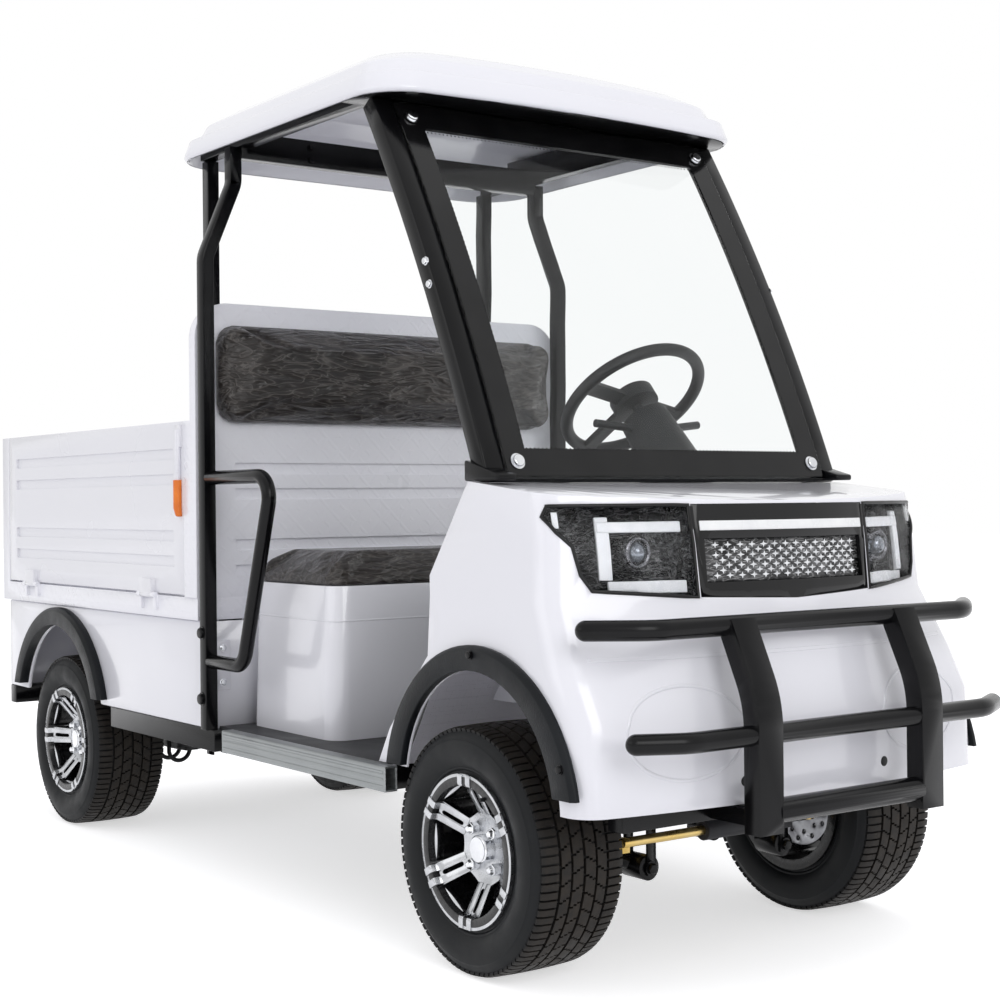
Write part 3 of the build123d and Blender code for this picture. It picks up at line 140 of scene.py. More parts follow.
world = bpy.data.worlds.new("studio_world")
scene.world = world
world.use_nodes = True
tree = world.node_tree
tree.nodes.clear()
world_level = add_node(tree, "MapRange", Value=seen_directly(tree), To_Min=world_light, To_Max=1.0)
world_back = add_node(tree, "Background", Color=pure_white, Strength=world_level.outputs["Result"])
add_node(tree, "OutputWorld", Surface=world_back.outputs[0])

studio_lamps = [  # name, place, aimed at, width, height, power
    ("overhead_soft_box", (0.3, -0.4, 4.2), (0.1, 0, 0.8), 4.5, 3.0, 5),
    ("front_soft_box", (5.0, -1.2, 2.6), (0.6, 0, 0.9), 2.4, 2.2, 50),
    ("right_soft_box", (-0.4, -4.6, 2.4), (0, 0, 0.8), 3.6, 1.8, 16),
]
for lamp_name, place, target, width, height, power in studio_lamps:
    lamp_data = bpy.data.lights.new(lamp_name, "AREA")
    lamp_data.shape = "RECTANGLE"
    lamp_data.size = width
    lamp_data.size_y = height
    lamp_data.energy = power
    lamp = bpy.data.objects.new(lamp_name, lamp_data)
    lamp.location = place
    lamp.rotation_euler = (Vector(target) - Vector(place)).to_track_quat("-Z", "Y").to_euler()
    scene.collection.objects.link(lamp)

# Frame and running gear
# Welded steel tube under black powder coat, forged arms and struts, and a cast rear axle with its motor.
# Cut edges and welds are slightly rounded, and the coat has the fine grain of baked powder.
front_axle = 0.920
rear_axle = -0.988
wheel_height = 0.230
bush_reach = 0.1353
bush_across = 0.178
bush_height = 0.178
weld_distance = 0.00001
edge_limit = math.radians(33)


def place_of(tree):
    """Returns an object's own places as a socket."""
    return tree.nodes.new("ShaderNodeTexCoord").outputs["Object"]


def blend(tree, factor, first, second):
    """Mixes two colours by a factor; each one is a socket or a colour."""
    mix = tree.nodes.new("ShaderNodeMix")
    mix.data_type = "RGBA"
    plug(tree, factor, mix.inputs["Factor"])
    plug(tree, first, mix.inputs[6])
    plug(tree, second, mix.inputs[7])
    return mix.outputs[2]


def node_group(name, inputs, outputs):
    """Makes a node group with its sockets and returns it with its two ends."""
    group = bpy.data.node_groups.new(name, "ShaderNodeTree")
    for end, sockets in (("INPUT", inputs), ("OUTPUT", outputs)):
        for socket, kind in sockets.items():
            group.interface.new_socket(socket, in_out=end, socket_type="NodeSocket" + kind)
    return group, group.nodes.new("NodeGroupInput"), group.nodes.new("NodeGroupOutput")


fine_surface, given, result = node_group(
    "fine_surface",
    {"Tone": "Color", "Shade": "Color", "Patch Scale": "Float", "Grain Scale": "Float"},
    {"Colour": "Color", "Mask": "Float", "Height": "Float"},
)
spot = place_of(fine_surface)
patches = add_node(fine_surface, "TexNoise", Vector=spot, Scale=given.outputs["Patch Scale"], Detail=4.0)
grains = add_node(fine_surface, "TexNoise", Vector=spot, Scale=given.outputs["Grain Scale"], Detail=2.0)
spread = add_node(fine_surface, "MapRange", Value=patches.outputs["Fac"], From_Min=0.34, From_Max=0.68)
spread = spread.outputs["Result"]
tones = blend(fine_surface, spread, given.outputs["Tone"], given.outputs["Shade"])
feed(fine_surface, result, Colour=tones, Mask=spread, Height=grains.outputs["Fac"])


def finish(name, tone, shade, rough, patch, grain, depth, metallic=0.0, coat=0.0, specular=0.5):
    """Makes a material with a change of tone, a change of gloss and a fine grain."""
    material = bpy.data.materials.new(name)
    material.use_nodes = True
    tree = material.node_tree
    surface = tree.nodes.new("ShaderNodeGroup")
    surface.name = "surface"
    surface.node_tree = fine_surface
    feed(tree, surface, Tone=tone, Shade=shade, Patch_Scale=patch, Grain_Scale=grain)
    gloss = add_node(tree, "MapRange", Value=surface.outputs["Mask"], To_Min=rough[0], To_Max=rough[1])
    bump = add_node(tree, "Bump", Height=surface.outputs["Height"], Distance=depth)
    bump.name = "grain"
    feed(
        tree,
        tree.nodes["Principled BSDF"],
        Metallic=metallic,
        Specular_IOR_Level=specular,
        Coat_Weight=coat,
        Coat_Roughness=0.04,
        Base_Color=surface.outputs["Colour"],
        Roughness=gloss.outputs["Result"],
        Normal=bump.outputs["Normal"],
    )
    return material


def soften(material, width, *names):
    """Gives CAD nodes smooth faces, rounded edges and their finish."""
    for name in names:
        piece = nodes[name]
        piece.data.polygons.foreach_set("use_smooth", [True] * len(piece.data.polygons))
        piece.data.materials.clear()
        piece.data.materials.append(material)
        weld = piece.modifiers.new("weld", "WELD")
        weld.merge_threshold = weld_distance
        rounded = piece.modifiers.new("rounded", "BEVEL")
        rounded.width = width
        rounded.segments = 2
        rounded.limit_method = "ANGLE"
        rounded.angle_limit = edge_limit
        rounded.harden_normals = True


def only(*pieces):
    """Selects these objects and no others, the first one active."""
    bpy.ops.object.select_all(action="DESELECT")
    for piece in pieces:
        piece.select_set(True)
    bpy.context.view_layer.objects.active = pieces[0]


def joined(pieces):
    """Joins pieces into the first one."""
    only(*pieces)
    if len(pieces) > 1:
        bpy.ops.object.join()
    return pieces[0]


def settle(piece, name, material, angle=35, body="chassis"):
    """Names a finished piece, puts its place into its mesh, smooths it and lets it ride."""
    only(piece)
    bpy.ops.object.transform_apply(location=True, rotation=True, scale=True)
    bpy.ops.object.shade_smooth_by_angle(angle=math.radians(angle))
    piece.name = name
    piece.data.materials.clear()
    piece.data.materials.append(material)
    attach(piece, body)
    return piece


@contextmanager
def editing(piece, chosen=None):
    """Opens a piece in edit mode with all of it selected, or the faces that a test of centre and normal picks."""
    only(piece)
    bpy.ops.object.mode_set(mode="EDIT")
    bpy.ops.mesh.select_mode(type="FACE")
    bpy.ops.mesh.select_all(action="DESELECT" if chosen else "SELECT")
    if chosen:
        bpy.ops.object.mode_set(mode="OBJECT")
        for polygon in piece.data.polygons:
            polygon.select = chosen(polygon.center, polygon.normal)
        bpy.ops.object.mode_set(mode="EDIT")
    yield
    bpy.ops.object.mode_set(mode="OBJECT")


def faces_up(centre, normal):
    """Tells whether a face looks straight up."""
    return normal.z > 0.9


def twin_of(model, name, move=Matrix()):
    """Copies a model with a mesh of its own, moved."""
    twin = bpy.data.objects.new(name, model.data.copy())
    twin.data.transform(move)
    scene.collection.objects.link(twin)
    return twin


def repeat(model, name, frames, material, body="chassis"):
    """Copies a model standing on the origin along Z to each place and direction, as one piece."""
    made = []
    for place, direction in frames:
        turn = Vector((0, 0, 1)).rotation_difference(Vector(direction)).to_matrix().to_4x4()
        made.append(twin_of(model, name, Matrix.Translation(place) @ turn))
    return settle(joined(made), name, material, body=body)


def on_both_sides(*frames):
    """Returns the left half's places and directions for both sides, right side first."""
    return [((x, side * y, z), (i, side * j, k)) for side in (-1, 1) for (x, y, z), (i, j, k) in frames]


def bolt_model(across, height, corners):
    """Models a bolt head on a washer; six corners make a hexagon, many make a round head."""
    thick = 0.002
    cylinder = bpy.ops.mesh.primitive_cylinder_add
    washer = begin(cylinder, (0, 0, thick / 2), vertices=24, radius=0.72 * across, depth=thick)
    head = begin(cylinder, (0, 0, thick + height / 2), vertices=corners, radius=0.55 * across, depth=height)
    with editing(head, faces_up):
        bpy.ops.mesh.bevel(offset=0.12 * across, segments=3)
    joined([head, washer])
    bpy.ops.object.transform_apply(location=True, rotation=True, scale=True)
    return head


black_coat = finish(
    "black_powder_coat", (0.0025, 0.0025, 0.003), (0.005, 0.005, 0.006),
    rough=(0.16, 0.26), patch=6.0, grain=900.0, depth=0.00008, specular=0.2)
spring_paint = finish(
    "spring_paint", (0.008, 0.008, 0.009), (0.016, 0.016, 0.018),
    rough=(0.35, 0.55), patch=12.0, grain=600.0, depth=0.0001, specular=0.3)
cast_paint = finish(
    "cast_paint", (0.015, 0.015, 0.017), (0.045, 0.045, 0.05),
    rough=(0.45, 0.7), patch=9.0, grain=320.0, depth=0.0006, specular=0.3)
zinc_plate = finish(
    "yellow_zinc", (0.62, 0.43, 0.13), (0.72, 0.56, 0.26),
    rough=(0.22, 0.4), patch=14.0, grain=900.0, depth=0.00004, metallic=1.0)
chrome = finish(
    "bright_chrome", (0.80, 0.81, 0.83), (0.66, 0.67, 0.70),
    rough=(0.06, 0.16), patch=20.0, grain=700.0, depth=0.00001, metallic=1.0)
soften(black_coat, 0.002, "chassis_frame", "front_arms")
soften(spring_paint, 0.001, "leaf_springs", "front_struts")
soften(cast_paint, 0.003, "rear_axle", "drive_motor", "knuckle_right", "knuckle_left", "steering_gear")
soften(zinc_plate, 0.0012, "tie_rod")

hex_bolt = bolt_model(across=0.019, height=0.008, corners=6)
bushes = [((front_axle + end * bush_reach, bush_across, bush_height), (end, 0, 0)) for end in (-1, 1)]
repeat(hex_bolt, "arm_bolts", on_both_sides(*bushes), black_coat)

# Rear spring clips
# Two bent rods clamp each rear spring to the axle tube.
# They are round steel bar in the same paint as the springs.
clip_rod = 0.006
clip_half = 0.026
clip_across = 0.185
clip_spread = 0.032
clip_split = 0.226
clip_drop = 0.052
both_sides = ((-1, "right"), (1, "left"))
for side, hand in both_sides:
    clips = []
    for step in (-clip_spread, clip_spread):
        clip = begin(
            bpy.ops.mesh.primitive_torus_add,
            (rear_axle + step, side * clip_across, wheel_height),
            major_segments=40,
            minor_segments=10,
            major_radius=clip_half + clip_rod,
            minor_radius=clip_rod,
            rotation=(math.pi / 2, 0, math.pi / 2),
        )
        bpy.ops.object.transform_apply(location=True, rotation=True, scale=True)
        with editing(clip, lambda centre, normal: centre.z < clip_split):
            bpy.ops.transform.translate(value=(0, 0, -clip_drop))
        clips.append(clip)
    settle(joined(clips), "spring_clips_" + hand, spring_paint)

# Tyres
# Wide low-profile rubber tyres: smooth sidewalls with a bead ridge, ribbed shoulders and rows of tread blocks.
# The carcass is one moulded section spun about the axle; grooves stay low and the blocks stand up from it.
wheel_across = 0.413
tyre_centre = Vector((front_axle, -wheel_across, wheel_height))
tyre_steps = 360
tread_depth = 0.0062
tread_start = 0.2160
lean_width = 0.0068
shoulder_pitch = 4
block_pitch = 8
merge_distance = 0.00002
tyre_wall = [  # radius, distance from the middle plane
    (0.1276, 0.0876),
    (0.1470, 0.0878),
    (0.1500, 0.0912),
    (0.1535, 0.0916),
    (0.1570, 0.0946),
    (0.1660, 0.0990),
    (0.1760, 0.1015),
    (0.1860, 0.1023),
    (0.1950, 0.1015),
    (0.2030, 0.0996),
    (0.2046, 0.0978),
    (0.2090, 0.0960),
    (0.2140, 0.0930),
    (0.2185, 0.0890),
]
tread_lines = [0.0800, 0.0720, 0.0640, 0.0560, 0.0500, 0.0433, 0.0367, 0.0300, 0.0250, 0.0178, 0.0106, 0.0030]
tread_rows = [  # inner edge, outer edge, pitch in steps, start of the first groove
    (0.0560, 0.0900, shoulder_pitch, 0),
    (0.0300, 0.0500, block_pitch, 2),
    (0.0030, 0.0250, block_pitch, 5),
]


def tread_base(across):
    """Returns the radius of the groove floor at a distance from the middle plane."""
    return 0.2236 - 0.0022 * (across / 0.08) ** 2


def face_outward(merge=0.0):
    """Merges doubled points of the mesh being edited, if asked, and turns all its faces outward."""
    bpy.ops.mesh.select_all(action="SELECT")
    if merge:
        bpy.ops.mesh.remove_doubles(threshold=merge)
    bpy.ops.mesh.normals_make_consistent(inside=False)


def is_block(centre, normal):
    """Tells whether a face of the spun carcass belongs to a tread block or a shoulder rib."""
    across = centre.y - tyre_centre.y
    if math.hypot(centre.x - tyre_centre.x, centre.z - tyre_centre.z) < tread_start:
        return False
    turn = math.atan2(centre.z - tyre_centre.z, centre.x - tyre_centre.x) % math.tau
    step = int(turn / math.tau * tyre_steps)
    for inner, outer, pitch, start in tread_rows:
        if inner < abs(across) < outer:
            lean = int((abs(across) - inner) / lean_width) if pitch == block_pitch else 0
            shift = start if across > 0 else start + pitch // 2
            return (step + shift + lean) % pitch != 0
    return False


half_section = tyre_wall + [(tread_base(line), line) for line in tread_lines]
section = half_section + [(radius, -across) for radius, across in reversed(half_section)]
tyre = begin(bpy.ops.mesh.primitive_circle_add, vertices=len(section), radius=0.1)
for vertex, (radius, across) in zip(tyre.data.vertices, section):
    vertex.co = tyre_centre + Vector((0, across, radius))
with editing(tyre):
    bpy.ops.mesh.spin(steps=tyre_steps, angle=math.tau, center=tyre_centre, axis=(0, 1, 0))
    face_outward(merge_distance)
with editing(tyre, is_block):
    bpy.ops.mesh.extrude_region_shrink_fatten(TRANSFORM_OT_shrink_fatten={"value": tread_depth})


def parts_of(tree, kind="Object"):
    """Returns the X, Y and Z of an object's places, or of its normals, as sockets."""
    vector = tree.nodes.new("ShaderNodeTexCoord").outputs[kind]
    return add_node(tree, "SeparateXYZ", Vector=vector).outputs


def wheel_measures(tree):
    """Returns the distance from the nearest wheel's axle line and the distance out from its middle plane."""
    x, y, z = parts_of(tree)
    off_middle = measure(tree, "SUBTRACT", x, (front_axle + rear_axle) / 2)
    along = measure(tree, "SUBTRACT", measure(tree, "ABSOLUTE", off_middle), (front_axle - rear_axle) / 2)
    rise = measure(tree, "SUBTRACT", z, wheel_height)
    squares = [measure(tree, "MULTIPLY", side, side) for side in (along, rise)]
    out = measure(tree, "SUBTRACT", measure(tree, "ABSOLUTE", y), wheel_across)
    return measure(tree, "SQRT", measure(tree, "ADD", *squares)), out


def overlay(tree, mask, tone):
    """Lays a tone over a finish where a mask says so."""
    mixed = blend(tree, mask, tree.nodes["surface"].outputs["Colour"], tone)
    feed(tree, tree.nodes["Principled BSDF"], Base_Color=mixed)


rubber = finish(
    "tyre_rubber", (0.0055, 0.0062, 0.0072), (0.010, 0.011, 0.0125),
    rough=(0.46, 0.62), patch=30.0, grain=700.0, depth=0.00015, specular=0.2)
dust_tone = (0.040, 0.030, 0.021)
tree = rubber.node_tree
tread_radius, _ = wheel_measures(tree)
dust_spots = add_node(tree, "TexNoise", Vector=place_of(tree), Scale=55.0, Detail=5.0)
dust_level = add_node(tree, "MapRange", Value=tread_radius, From_Min=0.2195, From_Max=0.2300, To_Max=0.85)
overlay(tree, measure(tree, "MULTIPLY", dust_level.outputs["Result"], dust_spots.outputs["Fac"]), dust_tone)

wheel_places = {  # axle, side
    "front_right": (front_axle, -1),
    "front_left": (front_axle, 1),
    "rear_right": (rear_axle, -1),
    "rear_left": (rear_axle, 1),
}
tyre_angle = 28
for place, (axle_x, side) in wheel_places.items():
    half_turn = Matrix.Rotation(math.pi if side > 0 else 0, 4, "Z")
    hub = Matrix.Translation((axle_x, side * wheel_across, wheel_height))
    twin = twin_of(tyre, "road_tyre_" + place, hub @ half_turn @ Matrix.Translation(-tyre_centre))
    settle(twin, "road_tyre_" + place, rubber, tyre_angle, "wheel_" + place)
    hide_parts("tyre_" + place)
bpy.data.objects.remove(tyre)

# Wheels
# Cast alloy wheels with six twin spokes: machined faces and lip, gloss black pockets and barrel.
# Each carries a pressed cap, four plated nuts and a rubber valve.
alloy_tone = (0.46, 0.47, 0.49)
alloy_shade = (0.60, 0.61, 0.63)
pocket_black = (0.0035, 0.0035, 0.004)
spoke_range = (0.030, 0.0845)
spoke_facing = 0.70
lip_radius = 0.1365
lip_out = 0.080
turning_pitch = 9000.0
alloy = finish(
    "machined_alloy", alloy_tone, alloy_shade,
    rough=(0.20, 0.34), patch=40.0, grain=900.0, depth=0.00001)
tree = alloy.node_tree
radius, out = wheel_measures(tree)
side_sign = measure(tree, "SIGN", parts_of(tree)["Y"])
facing_out = measure(tree, "MULTIPLY", parts_of(tree, "Normal")["Y"], side_sign)
in_range = measure(
    tree,
    "MULTIPLY",
    measure(tree, "GREATER_THAN", out, spoke_range[0]),
    measure(tree, "LESS_THAN", out, spoke_range[1]),
)
spokes = measure(tree, "MULTIPLY", measure(tree, "GREATER_THAN", facing_out, spoke_facing), in_range)
past_well = measure(tree, "GREATER_THAN", radius, lip_radius)
lip = measure(tree, "MULTIPLY", past_well, measure(tree, "GREATER_THAN", out, lip_out))
machined = measure(tree, "MAXIMUM", spokes, lip)
machined_tone = blend(tree, machined, pocket_black, tree.nodes["surface"].outputs["Colour"])
feed(tree, tree.nodes["Principled BSDF"], Base_Color=machined_tone, Metallic=machined)
turning = measure(tree, "SINE", measure(tree, "MULTIPLY", radius, turning_pitch))
feed(tree, tree.nodes["grain"], Height=turning)
soften(alloy, 0.0018, *["rim_" + place for place in wheel_places])
bar_alloy = finish(
    "turned_alloy", alloy_tone, alloy_shade,
    rough=(0.18, 0.30), patch=40.0, grain=900.0, depth=0.00002, metallic=1.0)
disc_steel = finish(
    "ground_disc", (0.42, 0.43, 0.45), (0.30, 0.30, 0.32),
    rough=(0.26, 0.42), patch=25.0, grain=1200.0, depth=0.00002, metallic=1.0)
soften(disc_steel, 0.0006, "brake_disc_front_right", "brake_disc_front_left")


def pull(x, y, z):
    """Extrudes the selected faces by a step."""
    bpy.ops.mesh.extrude_region_move(TRANSFORM_OT_translate={"value": (x, y, z)})


def standing(corners, radius, height, foot=0.0):
    """Adds a cylinder that stands on a height along Z."""
    middle = (0, 0, foot + height / 2)
    made = begin(
        bpy.ops.mesh.primitive_cylinder_add, middle, vertices=corners, radius=radius, depth=height)
    bpy.ops.object.transform_apply(location=True)
    return made


wheel_cap = standing(48, 0.027, 0.024)
with editing(wheel_cap, faces_up):
    bpy.ops.mesh.bevel(offset=0.008, segments=5)
    bpy.ops.mesh.inset(thickness=0.004)
    pull(0, 0, -0.0012)

lug_nut = standing(6, 0.0115, 0.015)
with editing(lug_nut, faces_up):
    bpy.ops.mesh.inset(thickness=0.0016)
    pull(0, 0, 0.007)
    bpy.ops.transform.resize(value=(0.72, 0.72, 1))
    pull(0, 0, 0.002)
    bpy.ops.transform.resize(value=(0.6, 0.6, 1))


def modify(piece, kind, **values):
    """Adds a modifier with its values and applies it."""
    only(piece)
    added = piece.modifiers.new(kind.lower(), kind)
    for key, value in values.items():
        setattr(added, key, value)
    bpy.ops.object.modifier_apply(modifier=added.name)


modify(lug_nut, "BEVEL", width=0.0008, segments=2, limit_method="ANGLE")

valve = standing(16, 0.0052, 0.030)
with editing(valve, faces_up):
    bpy.ops.transform.resize(value=(0.7, 0.7, 1))

bar_path = [  # distance from the axle, distance out; the twin bars run on from the dish to the lip
    (0.064, 0.0522),
    (0.104, 0.0737),
    (0.1140, 0.0798),
    (0.1183, 0.0890),
    (0.1196, 0.0975),
    (0.1240, 0.0992),
    (0.1410, 0.0992),
]
bar_reach = 0.0125
bar_half = 0.0068
bar_depth = 0.006
lip_bar = begin(bpy.ops.mesh.primitive_plane_add, size=1)
for vertex in lip_bar.data.vertices:
    shift = bar_half if vertex.co.x > 0 else -bar_half
    vertex.co = (shift, bar_path[0][0], bar_path[0][1] - (bar_depth if vertex.co.y > 0 else 0))
with editing(lip_bar):
    for before, after in zip(bar_path, bar_path[1:]):
        pull(0, after[0] - before[0], after[1] - before[1])
    face_outward()
modify(lip_bar, "BEVEL", width=0.0015, segments=2, limit_method="ANGLE", angle_limit=math.radians(50))

nut_circle = 0.047
nut_turns = (45, 135, 225, 315)
cap_out = 0.046
valve_circle = 0.119
valve_turn = 60
valve_out = 0.074


def round_hub(axle_x, reach, degrees, y):
    """Returns a place at a reach and a turn round an axle."""
    turn = math.radians(degrees)
    return (axle_x + reach * math.cos(turn), y, wheel_height + reach * math.sin(turn))


for place, (axle_x, side) in wheel_places.items():
    body = "wheel_" + place
    cap_y = side * (wheel_across + cap_out)
    out = (0, side, 0)
    repeat(wheel_cap, "wheel_cap_" + place, [((axle_x, cap_y, wheel_height), out)], chrome, body)
    nut_places = [(round_hub(axle_x, nut_circle, turn, cap_y), out) for turn in nut_turns]
    repeat(lug_nut, "lug_nuts_" + place, nut_places, chrome, body)
    hub = Matrix.Translation((axle_x, side * wheel_across, wheel_height))
    stand = Matrix.Rotation(-side * math.pi / 2, 4, "X")
    first_turn = 0 if axle_x > 0 else 30
    bars = []
    for pair in range(6):
        lean = Matrix.Rotation(math.radians(60 * pair + first_turn), 4, "Z")
        for shift in (-bar_reach, bar_reach):
            bars.append(twin_of(lip_bar, "bar", hub @ stand @ lean @ Matrix.Translation((shift, 0, 0))))
    settle(joined(bars), "spoke_bars_" + place, bar_alloy, body=body)
    valve_place = round_hub(axle_x, valve_circle, valve_turn, side * (wheel_across + valve_out))
    repeat(valve, "tyre_valve_" + place, [(valve_place, out)], rubber, body)
for model in (wheel_cap, lug_nut, valve, lip_bar):
    bpy.data.objects.remove(model)

# Cab floor and sills
# Dark tread plate turned up into the toe board, with hollow aluminium running boards along both edges.
# The plate has rows of raised bars, and its front face is white; the boards have drawn ribs and a satin finish.
toe_white = (0.80, 0.79, 0.86)
groove_pitch = 520.0
rib_height = 0.0045
rib_proud = 0.0014
rib_shares = (0.22, 0.5, 0.78)
rib_gap = 0.012
tread_plate = finish(
    "tread_plate", (0.020, 0.021, 0.023), (0.040, 0.041, 0.044),
    rough=(0.4, 0.6), patch=8.0, grain=500.0, depth=0.0012, specular=0.3)
tree = tread_plate.node_tree
plate_bars = add_node(tree, "TexChecker", Vector=place_of(tree), Scale=60.0)
feed(tree, tree.nodes["grain"], Height=plate_bars.outputs["Fac"])
plate_facing = parts_of(tree, "Normal")
plate_ahead = measure(tree, "GREATER_THAN", plate_facing["X"], 0.5)
plate_down = measure(tree, "LESS_THAN", plate_facing["Z"], -0.2)
overlay(tree, measure(tree, "MULTIPLY", plate_ahead, plate_down), toe_white)
soften(tread_plate, 0.0015, "floor_pan")
sill_alloy = finish(
    "satin_sill", (0.27, 0.285, 0.29), (0.33, 0.345, 0.35),
    rough=(0.36, 0.5), patch=10.0, grain=800.0, depth=0.0006, metallic=0.85)
tree = sill_alloy.node_tree
groove_wave = measure(tree, "SINE", measure(tree, "MULTIPLY", parts_of(tree)["Z"], groove_pitch))
feed(tree, tree.nodes["grain"], Height=measure(tree, "MAXIMUM", groove_wave, -0.4))
soften(sill_alloy, 0.002, "sills")


def block(place, size):
    """Adds a box of a size at a place."""
    made = begin(bpy.ops.mesh.primitive_cube_add, place, size=1)
    made.scale = size
    bpy.ops.object.transform_apply(location=True, scale=True)
    return made


sill_low, sill_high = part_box("sills")
sill_middle = (sill_low.x + sill_high.x) / 2
sill_ribs = []
for side in (-1, 1):
    for share in rib_shares:
        rib_place = (sill_middle, side * sill_high.y, sill_low.z + share * (sill_high.z - sill_low.z))
        sill_ribs.append(block(rib_place, (sill_high.x - sill_low.x - rib_gap, 2 * rib_proud, rib_height)))
modify(joined(sill_ribs), "BEVEL", width=0.0010, segments=2)
settle(sill_ribs[0], "sill_ribs", sill_alloy)
grained = finish(
    "grained_moulding", (0.010, 0.0105, 0.0115), (0.020, 0.021, 0.023),
    rough=(0.42, 0.58), patch=7.0, grain=420.0, depth=0.0005, specular=0.35)
soften(grained, 0.004, "pedals")

# Seat box and battery
# One gloss white moulding with rounded corners over the battery case, closed by the seat cushion.
# A pressed line runs round it below the lid.
seat_line_z = 0.615
seat_line_inset = 0.0104
seat_line_height = 0.004
seat_corner = 0.043
white_gloss = finish(
    "white_moulding", (0.815, 0.815, 0.87), (0.79, 0.79, 0.85),
    rough=(0.17, 0.26), patch=1.3, grain=260.0, depth=0.00004, coat=0.6)
soften(white_gloss, 0.004, "seat_box")
case_black = finish(
    "battery_case", (0.05, 0.05, 0.055), (0.08, 0.08, 0.085),
    rough=(0.5, 0.6), patch=6.0, grain=300.0, depth=0.0003)
soften(case_black, 0.006, "battery_pack")
seat_low, seat_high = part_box("seat_box")
seat_line = block(
    ((seat_low.x + seat_high.x) / 2, 0, seat_line_z),
    (seat_high.x - seat_low.x - seat_line_inset, seat_high.y - seat_low.y - seat_line_inset, seat_line_height),
)
with editing(seat_line):
    bpy.ops.mesh.select_mode(type="EDGE")
    bpy.ops.mesh.select_all(action="DESELECT")
    bpy.ops.object.mode_set(mode="OBJECT")
    for edge in seat_line.data.edges:
        ends = [seat_line.data.vertices[index].co for index in edge.vertices]
        edge.select = abs(ends[0].z - ends[1].z) > seat_line_height / 2
    bpy.ops.object.mode_set(mode="EDIT")
    bpy.ops.mesh.bevel(offset=seat_corner, segments=10)
modify(seat_line, "BEVEL", width=0.0012, segments=2, limit_method="ANGLE", angle_limit=math.radians(40))
settle(seat_line, "seat_box_bead", white_gloss)

# Cushions
# Dark leather over foam, still in the clear film it was delivered in: the film lies in small shiny creases.
# Each cover swells between its edges, held by its cap, and lies flat on the box or the headboard behind it.
leather = finish(
    "dark_leather", (0.010, 0.0078, 0.0070), (0.020, 0.0155, 0.0135),
    rough=(0.34, 0.5), patch=7.0, grain=300.0, depth=0.0002, coat=0.55, specular=0.25)

# Crumpled film: the crease lines made here are painted highlights, light lines for folds that catch the light,
# laid into a base colour; the crease heights only bend the coat.
film, film_in, film_out = node_group("crumpled_film_highlights", {"Scale": "Float"}, {"Lines": "Float", "Height": "Float"})
film_stretch = add_node(film, "Mapping", Vector=place_of(film), Scale=(1.0, 0.32, 1.5), Rotation=(0.30, 0.0, 0.15))
crease_highlight_masks = []
crease_heights = []
for share, sharp in ((1.0, 46.0), (2.6, 30.0)):
    fold_scale = measure(film, "MULTIPLY", film_in.outputs["Scale"], share)
    folds = add_node(
        film, "TexNoise", Vector=film_stretch.outputs["Vector"], Scale=fold_scale, Detail=2.0, Distortion=0.7)
    off_ridge = measure(film, "ABSOLUTE", measure(film, "SUBTRACT", folds.outputs["Fac"], 0.5))
    ridge = measure(film, "SUBTRACT", 1.0, measure(film, "MULTIPLY", off_ridge, 2.0))
    crease_highlight_masks.append(measure(film, "POWER", ridge, sharp))
    crease_heights.append(measure(film, "MULTIPLY", ridge, 1.0 / share))
crease_highlights = measure(film, "MAXIMUM", *crease_highlight_masks)
feed(film, film_out, Lines=crease_highlights, Height=measure(film, "ADD", *crease_heights))


def film_with_painted_highlights(material, scale, tone, share, depth):
    """Lays creased clear film over a finish: pale crease lines painted in as highlights on the folds, and an
    uneven coat.
    """
    tree = material.node_tree
    sheet = tree.nodes.new("ShaderNodeGroup")
    sheet.node_tree = film
    feed(tree, sheet, Scale=scale)
    # The pale tone goes into the base colour as painted highlights along the creases.
    overlay(tree, measure(tree, "MULTIPLY", sheet.outputs["Lines"], share), tone)
    coat_bump = add_node(tree, "Bump", Height=sheet.outputs["Height"], Distance=depth)
    feed(tree, tree.nodes["Principled BSDF"], Coat_Normal=coat_bump.outputs["Normal"])


# Pale lines in the leather's colour are painted highlights of the film's creases.
film_with_painted_highlights(leather, scale=15.0, tone=(0.22, 0.20, 0.185), share=0.34, depth=0.03)
cover_share = 0.985
cover_thin = 0.78
cover_voxel = 0.008
held_depth = 0.01
swell_pressure = 4
swell_frames = 20
swell_limit = 0.024
cover_cap = 0.006
cover_sink = 0.004
cover_angle = 80


def merged_copy(node, name):
    """Copies a CAD node's mesh as a new object with its loose triangles merged."""
    twin = twin_of(nodes[node], name)
    with editing(twin):
        bpy.ops.mesh.remove_doubles(threshold=merge_distance)
    return twin


